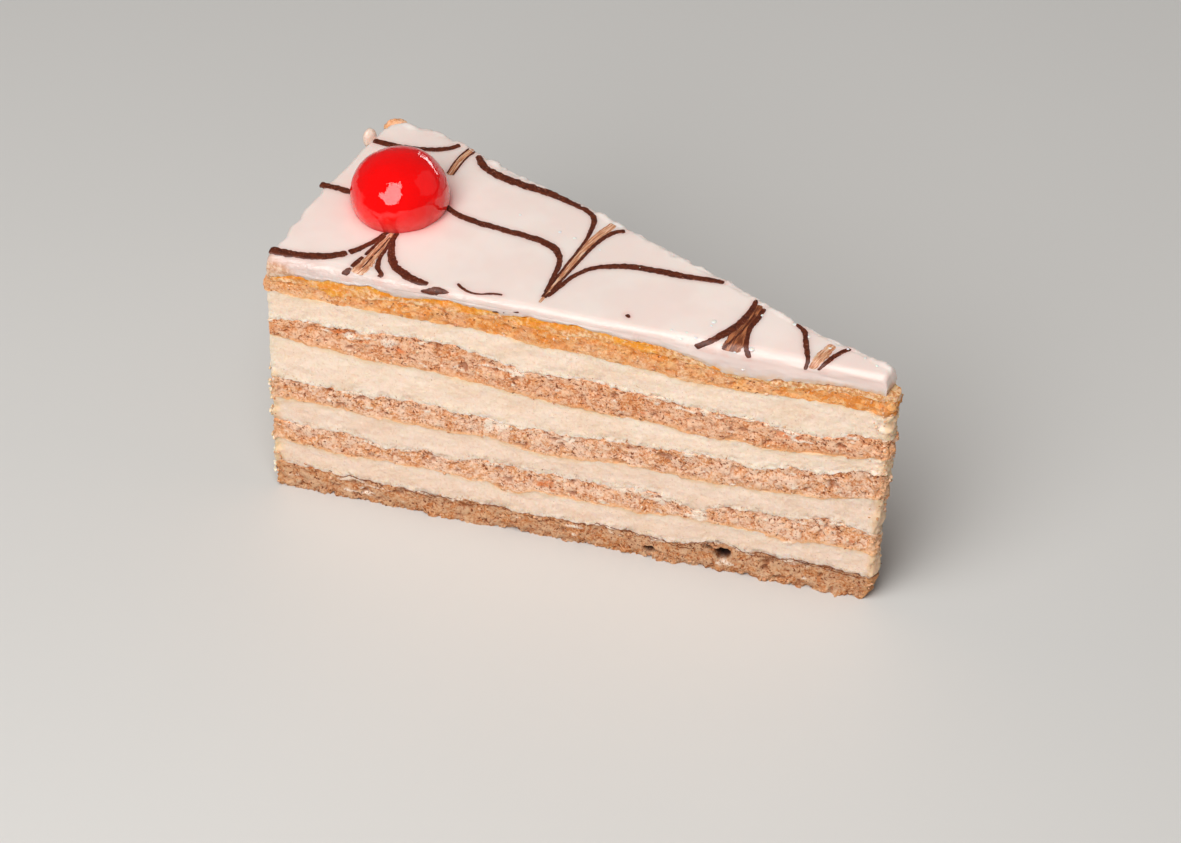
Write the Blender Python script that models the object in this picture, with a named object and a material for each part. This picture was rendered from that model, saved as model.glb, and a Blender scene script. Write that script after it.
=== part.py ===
"""One slice of a layered nut torte: five nut sponges, four buttercreams, apricot jam, a white
icing marbled with chocolate, half a candied cherry and a rim masked with cream and chopped nuts.

Lengths are in millimetres in the tables below and are turned into metres where points are made.
The slice's point faces +X, the cut face seen in the photograph faces -Y, and +Z is up. The origin
is at the middle of the footprint's bounding box. A place on the slice is given by s, the distance
in from the cake's rim, and t, which runs from -1 on the near cut to +1 on the far cut.
"""

import math
from functools import partial

import bmesh
import bpy
from mathutils import Matrix, Vector, noise

MM = 0.001

# Driving dimensions
CAKE_RADIUS = 120.0
SLICE_ANGLE = math.radians(21.6)
ICING_TOP = 51.9
APEX_X = 63.82
APEX_Y = -1.03
GAP = 0.3

# Where each layer starts at the rim, which is masked, and ends at the point, which was cut blunt
RIM_START = 1.2
POINT_ENDS = {
    "sponge_1": 108.4,
    "cream_1": 108.5,
    "sponge_2": 109.3,
    "cream_2": 109.0,
    "sponge_3": 110.6,
    "cream_3": 110.6,
    "sponge_4": 111.7,
    "cream_4": 111.1,
    "sponge_5": 112.3,
    "apricot_jam": 111.6,
    "icing": 111.0,
}
TOP_SPONGE_RIM_START = -0.8
JAM_RIM_START = 0.4
ICING_RIM_START = 0.3

# The icing and jam stop short of the far rim corner, where a lump of sponge stands up
CORNER_TRIM = 1.9
CORNER_LUMP_PLACE = (0.0, 0.97, 48.3)
CORNER_LUMP_SIZE = (1.0, 1.6, 2.9)

# Heights of the layer tops on the near cut, at eight even stations from the rim to the point
STATION_STEP = 15.0
LAYER_TOPS = {
    "sponge_1": (5.5, 5.1, 4.9, 4.9, 5.2, 4.9, 5.9, 5.9),
    "cream_1": (10.6, 10.2, 10.3, 10.0, 10.2, 10.8, 10.7, 11.2),
    "sponge_2": (15.0, 15.0, 14.2, 15.0, 15.1, 14.6, 15.6, 16.6),
    "cream_2": (20.7, 20.4, 20.1, 20.0, 20.0, 20.4, 20.9, 23.0),
    "sponge_3": (24.9, 25.0, 25.6, 24.9, 25.5, 26.4, 26.3, 29.0),
    "cream_3": (34.3, 33.1, 33.2, 32.2, 31.4, 31.1, 31.1, 32.6),
    "sponge_4": (37.8, 38.9, 39.6, 37.6, 37.9, 36.9, 36.2, 37.5),
    "cream_4": (44.2, 44.3, 44.5, 44.1, 43.7, 42.8, 43.1, 43.8),
    "sponge_5": (46.4, 47.1, 48.3, 48.0, 48.0, 47.3, 45.6, 46.8),
    "apricot_jam": (47.4, 49.3, 49.6, 49.4, 49.6, 48.7, 46.7, 48.1),
}
LAYER_ORDER = list(LAYER_TOPS)

# The bottom sponge is folded up under the first cream: (place, height, half width) on the near cut
SPONGE_FOLDS = ((75.0, -0.8, 2.6), (81.0, 1.7, 2.8))

# The rim is a little flatter than a true circle
RIM_FLATTENING = 1.0
RIM_FLATTENING_REACH = 30.0

# How far each cut wanders off its flat plane, at the same stations
FAR_CUT_WANDER = (1.4, 1.5, 1.1, 1.6, 1.2, 1.0, -0.7, 0.3)
NEAR_BASE_SETBACK = (-0.3, -0.3, -0.2, 0.1, 0.4, 0.5, 0.9, 1.1)

# Mesh fineness
STATIONS = 44
STATION_END = 107.6
RIM_COLUMNS = 12
SPINE_START = 4

# Relief of the cut faces
SPONGE_CRAG = 0.55
SPONGE_CRUMB = 3.1
CREAM_RIPPLE = 0.16
CREAM_SETBACK = 0.15

# Icing
ICING_EDGE_INSET = 1.1
ICING_EDGE_DROP = 0.75
ICING_BULGE = 0.3
LINE_SINK = 0.32
LUMP_CENTRE = (0.8, 15.2)
LUMP_SIZE = (1.3, 2.0, 1.6)

# Chocolate lines on the icing: places are (distance from the rim, distance across), then the width.
# Each list follows one line, which turns into a drag mark where a knife was pulled across.
CHOCOLATE_LINES = {
    "far_left": ((2.3, 14.2, 1.3), (6.0, 14.7, 1.3), (9.5, 15.5, 1.2), (12.8, 16.9, 1.1),
                 (15.0, 18.4, 1.1), (16.4, 20.2, 1.0)),
    "far_right": ((20.8, 19.2, 1.0), (21.3, 18.5, 1.2), (23.2, 16.9, 1.4), (27.0, 15.9, 1.6),
                  (32.0, 15.6, 1.6), (37.0, 15.7, 1.5), (41.0, 15.1, 1.2), (45.0, 14.4, 1.0),
                  (47.2, 13.0, 0.9), (48.3, 10.0, 0.8), (48.9, 6.0, 0.6), (49.2, -3.0, 0.5),
                  (49.6, -9.9, 0.5)),
    "far_point_side": ((53.6, 12.5, 1.0), (52.2, 11.4, 1.0), (51.2, 9.0, 0.9), (50.6, 5.0, 0.7),
                       (50.5, 0.0, 0.5), (50.3, -5.0, 0.5), (50.1, -9.9, 0.5)),
    "middle_left": ((0.7, -0.8, 1.2), (3.0, -0.5, 1.3), (5.0, -0.2, 1.3)),
    "middle_right": ((23.6, 3.8, 1.1), (26.0, 3.0, 1.2), (30.0, 2.7, 1.3), (35.0, 3.0, 1.3),
                     (40.0, 3.4, 1.4), (43.4, 3.2, 1.4), (45.8, 2.2, 1.2), (47.3, 0.5, 1.0),
                     (48.2, -2.0, 0.9), (48.9, -5.5, 0.7), (49.4, -8.5, 0.6)),
    "middle_point_side": ((50.4, -9.4, 0.6), (50.9, -5.8, 0.9), (51.6, -2.5, 0.9),
                          (53.0, 0.4, 1.0), (55.5, 2.6, 1.2), (59.0, 4.4, 1.3),
                          (63.0, 5.4, 1.4), (68.0, 6.4, 1.4), (72.0, 7.4, 1.3), (75.2, 8.1, 0.9)),
    "near_left": ((3.2, -19.8, 1.5), (7.0, -19.5, 1.6), (10.5, -18.2, 1.6), (13.2, -16.2, 1.3),
                  (15.2, -13.5, 1.1), (16.6, -10.5, 1.0), (17.2, -8.6, 0.9)),
    "near_right": ((19.4, -8.6, 0.9), (20.2, -10.4, 1.1), (21.6, -12.8, 1.3), (23.6, -14.7, 1.5),
                   (26.2, -15.8, 1.6), (28.6, -16.2, 1.7), (30.6, -16.0, 1.3)),
    "near_chip": ((31.2, -17.3, 0.9), (32.6, -16.9, 1.3), (34.0, -16.4, 0.7)),
    "drag_1_streak": ((17.9, -8.7, 0.5), (17.4, -12.0, 0.6), (17.0, -16.5, 0.6)),
    "third_drag_left": ((82.9, 5.0, 1.0), (82.8, 2.0, 1.2), (82.5, -1.5, 1.4), (81.6, -4.0, 1.5),
                        (80.6, -5.9, 1.2)),
    "third_drag_right": ((84.6, 4.2, 0.8), (84.9, 1.0, 0.9), (85.4, -2.0, 0.9), (86.4, -4.6, 0.7)),
    "fourth_drag_left": ((92.4, 3.4, 0.8), (94.8, 1.0, 0.9), (96.4, -1.6, 0.8), (97.5, -3.7, 0.6)),
    "fourth_drag_right": ((101.2, 1.9, 0.8), (100.5, 0.2, 0.9), (99.9, -3.2, 0.7)),
}

# Candied cherry half
CHERRY_CENTRE = (15.6, 1.2)
CHERRY_RADIUS = (8.7, 8.8)
CHERRY_HEIGHT = 9.9
CHERRY_SQUARENESS = 2.2
CHERRY_BASE_TUCK = 0.03

# Cream and chopped nuts on the rim
COAT_BOTTOM = 0.9
COAT_TOP = 43.4
COAT_NUT_TOP = 26.0
COAT_CREAM_THICKNESS = 0.75
COAT_NUT_THICKNESS = 0.95
COAT_NUT_SIZE = 2.6
COAT_GRID = (20, 12)

# Colours seen in the photograph, as linear red, green, blue, then roughness
FINISHES = {
    "sponge": ((0.60, 0.38, 0.22), 0.85),
    "cream": ((0.92, 0.80, 0.60), 0.60),
    "jam": ((0.72, 0.33, 0.05), 0.25),
    "icing": ((0.84, 0.76, 0.73), 0.25),
    "cherry": ((0.80, 0.01, 0.01), 0.12),
    "nuts": ((0.62, 0.42, 0.24), 0.80),
}


def clear_scene():
    for obj in list(bpy.data.objects):
        bpy.data.objects.remove(obj, do_unlink=True)


def finish_material(name):
    colour, roughness = FINISHES[name]
    material = bpy.data.materials.new(name)
    material.use_nodes = True
    shader = material.node_tree.nodes["Principled BSDF"]
    shader.inputs["Base Color"].default_value = (*colour, 1.0)
    shader.inputs["Roughness"].default_value = roughness
    shader.inputs["Metallic"].default_value = 0.0
    return material


def along_stations(values, s):
    """Smooth curve through values given at even stations, read at distance s from the rim."""
    last = len(values) - 1
    place = min(max(s / STATION_STEP, 0.0), last)
    i = min(int(place), last - 1)
    f = place - i
    before, left = values[max(i - 1, 0)], values[i]
    right, after = values[i + 1], values[min(i + 2, last)]
    slope_left, slope_right = (right - before) / 2, (after - left) / 2
    return (
        left * (1 + 2 * f) * (1 - f) ** 2
        + slope_left * f * (1 - f) ** 2
        + right * f * f * (3 - 2 * f)
        + slope_right * f * f * (f - 1)
    )


def layer_top(name, s, t):
    """Height of a layer's top. The far cut is like the near one, evened out by its own mirror."""
    values = LAYER_TOPS[name]
    length = STATION_STEP * (len(values) - 1)
    near = along_stations(values, s)
    far = (near + along_stations(values, length - s)) / 2
    if name == "sponge_1":
        for place, height, width in SPONGE_FOLDS:
            near += height * math.exp(-(((s - place) / width) ** 2))
    share = (t + 1) / 2
    return near * (1 - share) + far * share


def layer_bottom(name, s, t):
    index = LAYER_ORDER.index(name)
    return 0.0 if index == 0 else layer_top(LAYER_ORDER[index - 1], s, t)


def cut_normal(t):
    """Unit direction out of the cut face on the side of t."""
    half = SLICE_ANGLE / 2
    return Vector((math.sin(half), math.copysign(math.cos(half), t), 0.0))


def rim_normal(t):
    angle = t * SLICE_ANGLE / 2
    return Vector((-math.cos(angle), math.sin(angle), 0.0))


def place(s, t, z, offset=0.0, direction=None):
    """Point in metres at s, t and height z, moved off the face by offset millimetres."""
    flattening = RIM_FLATTENING * (1 - t * t) * max(0.0, 1 - s / RIM_FLATTENING_REACH)
    radius = CAKE_RADIUS - s - flattening
    angle = t * SLICE_ANGLE / 2
    point = Vector((APEX_X - radius * math.cos(angle), APEX_Y + radius * math.sin(angle), z))
    far_share, near_share = max(t, 0.0), max(-t, 0.0)
    lowness = 1 - min(z / ICING_TOP, 1.0)
    point.y += far_share * along_stations(FAR_CUT_WANDER, s)
    point.y += near_share * lowness * along_stations(NEAR_BASE_SETBACK, s)
    if direction is not None:
        point += direction * offset
    return point * MM


def outline(rim_start, point_end, corner_trim=0.0):
    """Ring of (s, t, outward direction) round the slice, from the near rim corner to the point
    and back along the far cut and the rim."""
    step = STATION_END / STATIONS
    inner = [step * i for i in range(1, STATIONS)]
    near = [(s, -1.0, cut_normal(-1.0)) for s in [rim_start] + inner + [point_end]]
    tip = [(point_end + 0.4, 0.0, Vector((1.0, 0.0, 0.0)))]
    far = [(s, 1.0, cut_normal(1.0)) for s in [rim_start + corner_trim] + inner + [point_end]]
    rim = []
    for j in range(1, RIM_COLUMNS):
        t = 1 - 2 * j / RIM_COLUMNS
        trim = corner_trim * max(0.0, t * 4 - 3) ** 2
        rim.append((rim_start + trim, t, rim_normal(t)))
    return near + tip + far[::-1] + rim


def cap_faces(bm, ring, spine, flip):
    """Closes a ring with strips from each cut face to a spine down the middle."""
    n = STATIONS + 1
    near, tip, far = ring[:n], ring[n], ring[n + 1 : 2 * n + 1][::-1]
    rim = [far[0]] + ring[2 * n + 1 :] + [near[0]]
    middle = [spine[max(i, SPINE_START)] for i in range(n - 1)] + [tip]

    def add(*corners):
        different = []
        for corner in corners:
            if corner not in different:
                different.append(corner)
        if len(different) > 2:
            bm.faces.new(different[::-1] if flip else different)

    for i in range(n - 1):
        add(near[i], near[i + 1], middle[i + 1])
        add(near[i], middle[i + 1], middle[i])
        add(far[i], middle[i + 1], far[i + 1])
        add(far[i], middle[i], middle[i + 1])
    for j in range(len(rim) - 1):
        add(rim[j], rim[j + 1], spine[SPINE_START])


def loft(name, levels, bottom_height, top_height, material):
    """Solid through a stack of rings; each level is a function giving the ring's points."""
    bm = bmesh.new()
    rings = [[bm.verts.new(point) for point in level] for level in levels]
    step = STATION_END / STATIONS

    def spine(height):
        return [
            bm.verts.new(place(step * i, 0.0, height(step * i))) if i >= SPINE_START else None
            for i in range(STATIONS)
        ]

    for lower, upper in zip(rings, rings[1:]):
        for i in range(len(lower)):
            j = (i + 1) % len(lower)
            bm.faces.new((lower[i], lower[j], upper[j], upper[i]))
    cap_faces(bm, rings[0], spine(bottom_height), flip=True)
    cap_faces(bm, rings[-1], spine(top_height), flip=False)
    bmesh.ops.recalc_face_normals(bm, faces=bm.faces[:])
    return object_from(bm, name, material)


def object_from(bm, name, material):
    mesh = bpy.data.meshes.new(name)
    bm.to_mesh(mesh)
    bm.free()
    mesh.materials.append(material)
    obj = bpy.data.objects.new(name, mesh)
    bpy.context.scene.collection.objects.link(obj)
    return obj


def crag(point, size, seed):
    """Signed roughness from 3-D noise at a point in metres, for grains of about size mm."""
    at = point / (size * MM) + Vector((seed, seed * 0.37, -seed))
    return noise.noise(at) + 0.45 * noise.noise(at * 2.3)


def layer_levels(name, seed):
    """Rings up the side of one layer: crumbly on a sponge, softly rippled on cream or jam."""
    is_sponge = name.startswith("sponge")
    shares = (0.0, 0.3, 0.68, 1.0) if is_sponge else (0.0, 0.5, 1.0)
    size = SPONGE_CRUMB if is_sponge else 2.4 * SPONGE_CRUMB
    depth = SPONGE_CRAG if is_sponge else CREAM_RIPPLE
    rim_start = {"sponge_5": TOP_SPONGE_RIM_START, "apricot_jam": JAM_RIM_START}.get(name, RIM_START)
    corner_trim = CORNER_TRIM if name == "apricot_jam" else 0.0
    for share in shares:
        ring = []
        at_edge = share in (0.0, 1.0)
        for s, t, direction in outline(rim_start, POINT_ENDS[name], corner_trim):
            low = layer_bottom(name, s, t) + (0.0 if name == "sponge_1" else GAP / 2)
            high = layer_top(name, s, t) - GAP / 2
            z = low * (1 - share) + high * share
            rough = depth * crag(place(s, t, z), size, seed) * (0.5 if at_edge else 1.0)
            base = 0.1 if is_sponge else -CREAM_SETBACK
            if abs(t) < 1 and s < STATION_STEP and rim_start > 0:
                rough, base = min(rough, 0.0) * 0.5, 0.0
            ring.append(place(s, t, z, rough + base, direction))
        yield ring


def build_layer(name, seed, material):
    def bottom(s):
        return layer_bottom(name, s, 0.0) + (0.0 if name == "sponge_1" else GAP / 2)

    def top(s):
        return layer_top(name, s, 0.0) - GAP / 2

    return loft(name, list(layer_levels(name, seed)), bottom, top, material)


def icing_body(material):
    """Icing slab: it bulges over the cut, and its top edge is rounded."""
    jam = LAYER_ORDER[-1]
    sections = (
        (0.0, 0.0, -0.1),
        (0.5, 0.0, ICING_BULGE),
        (1.0, -ICING_EDGE_DROP, 0.15),
        (1.0, -0.08, -ICING_EDGE_INSET),
    )
    levels = []
    for share, lift, offset in sections:
        ring = []
        for s, t, direction in outline(ICING_RIM_START, POINT_ENDS["icing"], CORNER_TRIM):
            low = layer_top(jam, s, t) + GAP / 2
            z = low * (1 - share) + ICING_TOP * share + lift
            wave = 0.18 * crag(place(s, t, 0.0), 5.0, 40.0)
            ring.append(place(s, t, z, offset + wave, direction))
        levels.append(ring)
    return loft(
        "icing",
        levels,
        lambda s: layer_top(jam, s, 0.0) + GAP / 2,
        lambda s: ICING_TOP,
        material,
    )


def chocolate_line(name, points):
    """One line of chocolate as a tube sunk in the icing, made a mesh so that it can be joined."""
    curve = bpy.data.curves.new(name, "CURVE")
    curve.dimensions = "3D"
    curve.bevel_depth = 0.5 * MM
    curve.bevel_resolution = 1
    curve.use_fill_caps = True
    spline = curve.splines.new("POLY")
    spline.points.add(len(points) - 1)
    for control, (u, y, width) in zip(spline.points, points):
        x = APEX_X - CAKE_RADIUS + u
        z = ICING_TOP + LINE_SINK - width / 2
        control.co = (x * MM, (APEX_Y + y) * MM, z * MM, 1.0)
        control.radius = width
    holder = bpy.data.objects.new(name, curve)
    bpy.context.scene.collection.objects.link(holder)
    bpy.context.view_layer.update()
    evaluated = holder.evaluated_get(bpy.context.evaluated_depsgraph_get())
    mesh = bpy.data.meshes.new_from_object(evaluated)
    obj = bpy.data.objects.new(name + "_solid", mesh)
    obj.matrix_world = holder.matrix_world.copy()
    bpy.data.objects.remove(holder, do_unlink=True)
    bm = bmesh.new()
    bm.from_mesh(mesh)
    bmesh.ops.remove_doubles(bm, verts=bm.verts[:], dist=0.01 * MM)
    bmesh.ops.recalc_face_normals(bm, faces=bm.faces[:])
    bm.to_mesh(mesh)
    bm.free()
    return obj


def lump(name, centre, sizes, turn):
    """Rough ellipsoid; centre and sizes are in millimetres."""
    bm = bmesh.new()
    shape = Matrix.Translation(centre * MM) @ Matrix.Rotation(turn, 4, "Z")
    shape = shape @ Matrix.Diagonal((*(Vector(sizes) * MM), 1.0))
    bmesh.ops.create_icosphere(bm, subdivisions=2, radius=1.0, matrix=shape)
    for vert in bm.verts:
        vert.co += (vert.co - centre * MM) * 0.12 * noise.noise(vert.co / (1.6 * MM))
    mesh = bpy.data.meshes.new(name)
    bm.to_mesh(mesh)
    bm.free()
    return bpy.data.objects.new(name, mesh)


def fuse(body, pieces):
    """Joins the pieces to the body by one union and takes them away."""
    joined = bpy.data.collections.new("fused_to_" + body.name)
    bpy.context.scene.collection.children.link(joined)
    for piece in pieces:
        joined.objects.link(piece)
    union = body.modifiers.new("fuse", "BOOLEAN")
    union.operation = "UNION"
    union.operand_type = "COLLECTION"
    union.collection = joined
    union.solver = "MANIFOLD"
    bpy.context.view_layer.update()
    evaluated = body.evaluated_get(bpy.context.evaluated_depsgraph_get())
    fused = bpy.data.meshes.new_from_object(evaluated)
    body.modifiers.clear()
    body.data = fused
    for piece in pieces:
        bpy.data.objects.remove(piece, do_unlink=True)
    bpy.data.collections.remove(joined)


def build_icing(material):
    """The slab with its chocolate lines, and the bead the knife pulled over the rim."""
    body = icing_body(material)
    u, y = LUMP_CENTRE
    centre = Vector((APEX_X - CAKE_RADIUS + u, APEX_Y + y, ICING_TOP - 0.8))
    pieces = [chocolate_line("line_" + name, points) for name, points in CHOCOLATE_LINES.items()]
    pieces.append(lump("bead", centre, LUMP_SIZE, -0.1))
    fuse(body, pieces)
    return body


def build_top_sponge(seed, material):
    """Top sponge with the lump that stands up at the far rim corner."""
    body = build_layer("sponge_5", seed, material)
    s, t, z = CORNER_LUMP_PLACE
    centre = place(s, t, z) / MM
    fuse(body, [lump("corner_lump", centre, CORNER_LUMP_SIZE, -SLICE_ANGLE / 2)])
    return body


def build_cherry(material):
    """Half cherry: a sphere primitive made squarer, with a flat cut base just over the icing."""
    bm = bmesh.new()
    bmesh.ops.create_uvsphere(bm, u_segments=26, v_segments=20, radius=1.0)
    bmesh.ops.bisect_plane(
        bm,
        geom=bm.verts[:] + bm.edges[:] + bm.faces[:],
        plane_co=(0, 0, 0),
        plane_no=(0, 0, -1),
        clear_outer=True,
    )
    rim_edges = [edge for edge in bm.edges if edge.is_boundary]
    bmesh.ops.holes_fill(bm, edges=rim_edges, sides=0)
    u, y = CHERRY_CENTRE
    centre = Vector((APEX_X - CAKE_RADIUS + u, APEX_Y + y, ICING_TOP + GAP))
    power = 2 / CHERRY_SQUARENESS
    for vert in bm.verts:
        flat = math.hypot(vert.co.x, vert.co.y)
        height = max(vert.co.z, 0.0) ** power
        spread = flat ** (power - 1) * flat if flat > 1e-6 else 0.0
        scale = spread / flat if flat > 1e-6 else 0.0
        tuck = 1 - CHERRY_BASE_TUCK * (1 - min(height / 0.25, 1.0)) ** 2
        wobble = 1 + 0.02 * noise.noise(vert.co * 1.7)
        vert.co = (
            centre
            + Vector(
                (
                    vert.co.x * scale * CHERRY_RADIUS[0] * tuck * wobble,
                    vert.co.y * scale * CHERRY_RADIUS[1] * tuck * wobble,
                    height * CHERRY_HEIGHT,
                )
            )
        ) * MM
    bmesh.ops.recalc_face_normals(bm, faces=bm.faces[:])
    obj = object_from(bm, "cherry", material)
    obj.data.shade_smooth()
    return obj


def build_rim_coat(material):
    """Cream mask on the rim, thicker and lumpy over its lower half, where the nuts are."""
    columns, rows = COAT_GRID
    bm = bmesh.new()
    bmesh.ops.create_grid(bm, x_segments=columns, y_segments=rows, size=1.0)
    inner_s = RIM_START - GAP
    shares = {}
    for vert in bm.verts:
        t, share = vert.co.x * 0.985, (vert.co.y + 1) / 2
        shares[vert] = (t, share)
        top = COAT_TOP + 0.5 * noise.noise(Vector((t * 3.0, 7.0, 0.0)))
        vert.co = place(inner_s, t, COAT_BOTTOM * (1 - share) + top * share)
    skin = bmesh.ops.extrude_face_region(bm, geom=bm.faces[:])
    for vert in (item for item in skin["geom"] if isinstance(item, bmesh.types.BMVert)):
        source = Vector(vert.co)
        direction = Vector((source.x / MM - APEX_X, source.y / MM - APEX_Y, 0.0)).normalized()
        z = source.z / MM
        edge = COAT_NUT_TOP + 2.5 * noise.noise(source / (9.0 * MM))
        nutty = min(max((edge - z) / 2.5, 0.0), 1.0)
        lump = 0.5 + 0.9 * crag(source, COAT_NUT_SIZE, 60.0)
        thickness = COAT_CREAM_THICKNESS + nutty * COAT_NUT_THICKNESS * max(lump, 0.0)
        vert.co = source + direction * thickness * MM
    bmesh.ops.recalc_face_normals(bm, faces=bm.faces[:])
    return object_from(bm, "rim_coat", material)


def build_slice():
    clear_scene()
    materials = {name: finish_material(name) for name in FINISHES}
    parts = []
    for seed, name in enumerate(LAYER_ORDER, start=1):
        kind = "jam" if name == "apricot_jam" else name.split("_")[0]
        build = build_top_sponge if name == "sponge_5" else partial(build_layer, name)
        parts.append(build(seed * 3.1, materials[kind]))
    parts.append(build_icing(materials["icing"]))
    parts.append(build_cherry(materials["cherry"]))
    parts.append(build_rim_coat(materials["nuts"]))
    collection = bpy.data.collections.new("torte_slice")
    bpy.context.scene.collection.children.link(collection)
    for obj in parts:
        bpy.context.scene.collection.objects.unlink(obj)
        collection.objects.link(obj)


build_slice()
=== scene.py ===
"""Looks of the torte slice: crumbly nut sponges, cut buttercream, jam, marbled icing, a candied
cherry half and a nut-covered rim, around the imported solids.

Lengths are in millimetres and become metres when a mesh is made. A place on the slice is given as
in the solids: s is the distance in from the cake's rim, and t runs from -1 on the near cut to +1 on
the far cut. A place on the icing is given by u, the distance from the rim along the slice's middle
line, and y, the distance across from that line.
"""

import math

import bmesh
import bpy
import numpy as np
from mathutils import Matrix, Vector


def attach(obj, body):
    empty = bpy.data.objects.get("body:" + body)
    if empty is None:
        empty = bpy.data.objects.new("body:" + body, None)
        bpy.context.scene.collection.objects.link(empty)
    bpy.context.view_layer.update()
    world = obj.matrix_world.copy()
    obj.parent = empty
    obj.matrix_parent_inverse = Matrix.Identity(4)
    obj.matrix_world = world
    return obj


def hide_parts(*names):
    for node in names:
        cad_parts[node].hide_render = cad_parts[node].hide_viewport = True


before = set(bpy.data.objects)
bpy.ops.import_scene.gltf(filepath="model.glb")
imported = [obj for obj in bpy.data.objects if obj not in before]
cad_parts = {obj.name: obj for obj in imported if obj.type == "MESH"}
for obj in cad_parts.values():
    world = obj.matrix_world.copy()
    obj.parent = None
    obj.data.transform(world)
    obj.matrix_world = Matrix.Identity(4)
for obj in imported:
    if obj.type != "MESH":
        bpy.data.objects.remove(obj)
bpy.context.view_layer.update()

MM = 0.001

# The slice's own shape, as in the solids
CAKE_RADIUS = 120.0
HALF_ANGLE = math.radians(10.8)
ICING_TOP = 51.9
APEX = (63.82, -1.03)
STATION_STEP = 15.0
STATION_LENGTH = 105.0
FAR_CUT_WANDER = (1.4, 1.5, 1.1, 1.6, 1.2, 1.0, -0.7, 0.3)
NEAR_BASE_SETBACK = (-0.3, -0.3, -0.2, 0.1, 0.4, 0.5, 0.9, 1.1)
RIM_FLATTENING = 1.0
RIM_FLATTENING_REACH = 30.0
RIM_START = -0.4
RIM_INSET = 1.2
COAT_START = 0.8
COAT_SPAN = 0.965
FOOT_SETBACK = 0.4
TOP_SPONGE_RIM_START = -0.8
JAM_RIM_START = 0.4
ICING_RIM_START = 0.3
ICING_END = 111.0
CORNER_TRIM = 1.9

# Where the blunt point ends, as (height, distance from the rim)
POINT_PROFILE = ((0, 107.2), (1, 108.2), (5, 108.7), (15, 109.2), (20, 109.6), (26, 110.5),
                 (33, 111.0), (38, 111.6), (42, 111.3), (47, 112.3), (49, 111.8), (52, 111.0))

# Height of each layer's top on the near cut, as (distance from the rim, height)
NEAR_TOPS = {
    "sponge_1": ((0, 5.6), (15, 5.1), (30, 4.9), (45, 4.9), (60, 5.2), (70, 4.9), (75, 4.3), (81, 7.0),
                 (86, 5.9), (95, 6.0), (105, 5.9), (112, 5.6)),
    "cream_1": ((0, 10.8), (10, 10.2), (20, 10.3), (30, 10.5), (40, 10.2), (44, 8.7), (48, 10.2),
                (60, 10.3), (70, 10.2), (75, 11.2), (90, 10.8), (95, 10.0), (100, 11.2), (112, 11.2)),
    "sponge_2": ((0, 15), (15, 15), (20, 13.8), (25, 13.8), (28, 15.5), (32, 13.5), (37, 15), (60, 15),
                 (67, 15.5), (75, 14.5), (78, 13.0), (82, 15), (85, 15.8), (90, 15.5), (95, 16),
                 (100, 17), (105, 16.5), (112, 15)),
    "cream_2": ((0, 20.7), (10, 20.5), (20, 20.2), (30, 20), (40, 20.8), (45, 20), (50, 19.3), (60, 20),
                (65, 20.5), (70, 20.8), (75, 20.3), (90, 20.9), (100, 21.7), (105, 23.3), (112, 24.6)),
    "sponge_3": ((0, 25), (10, 24.8), (20, 25), (28, 25.7), (35, 25), (50, 24.5), (60, 25.5), (70, 25.8),
                 (80, 26.8), (88, 25.3), (92, 26.8), (97, 27.8), (100, 27.5), (105, 29.5), (112, 30)),
    "cream_3": ((0, 34.5), (10, 33.5), (15, 33), (25, 33.5), (40, 32.5), (50, 31.8), (60, 31.4),
                (70, 31.4), (80, 30.8), (90, 30.9), (100, 31.8), (107, 33), (112, 34)),
    "sponge_4": ((0, 37.8), (5, 38.5), (10, 39), (20, 39.3), (25, 39.9), (35, 40.2), (38, 39.5),
                 (42, 38.3), (45, 37.3), (60, 38), (70, 37.6), (75, 36.8), (90, 36.3), (97, 35.3),
                 (100, 36), (103, 37.8), (112, 38)),
    "cream_4": ((0, 44.2), (20, 44.3), (40, 44.8), (45, 44), (50, 43.5), (55, 44), (65, 43.7), (75, 42.7),
                (85, 42.6), (90, 43.3), (100, 43.7), (105, 44), (112, 43)),
    "sponge_5": ((0, 46.4), (5, 47.3), (13, 45.9), (18, 47.2), (25, 47.5), (33, 48.0), (40, 48.4),
                 (50, 47.4), (60, 47.9), (70, 47.2), (80, 46.0), (85, 45.4), (90, 45.6), (100, 46.8),
                 (112, 46.9)),
    "apricot_jam": ((0, 47.2), (3, 47.8), (5, 48.5), (10, 48.7), (15, 49.4), (18, 49.7), (25, 48.8),
                    (33, 50.0), (40, 49.4), (45, 49.1), (48, 50.1), (50, 49.4), (55, 50.1), (60, 49.4),
                    (65, 49), (70, 49.2), (75, 48.6), (78, 47.5), (82, 46.4), (85, 46.2), (90, 46.4),
                    (95, 47.2), (100, 47.9), (112, 48.1)),
}
LAYERS = list(NEAR_TOPS)

# How far the icing's top edge is rounded along the near cut, as (distance from the rim, radius)
NEAR_EDGE_RADIUS = ((0, 1.3), (4, 2.0), (12, 2.2), (20, 1.6), (30, 1.3), (70, 1.3), (80, 2.0),
                    (95, 2.2), (103, 1.4))
PLAIN_EDGE_RADIUS = 0.9
ICING_BULGE = 0.12

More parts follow.
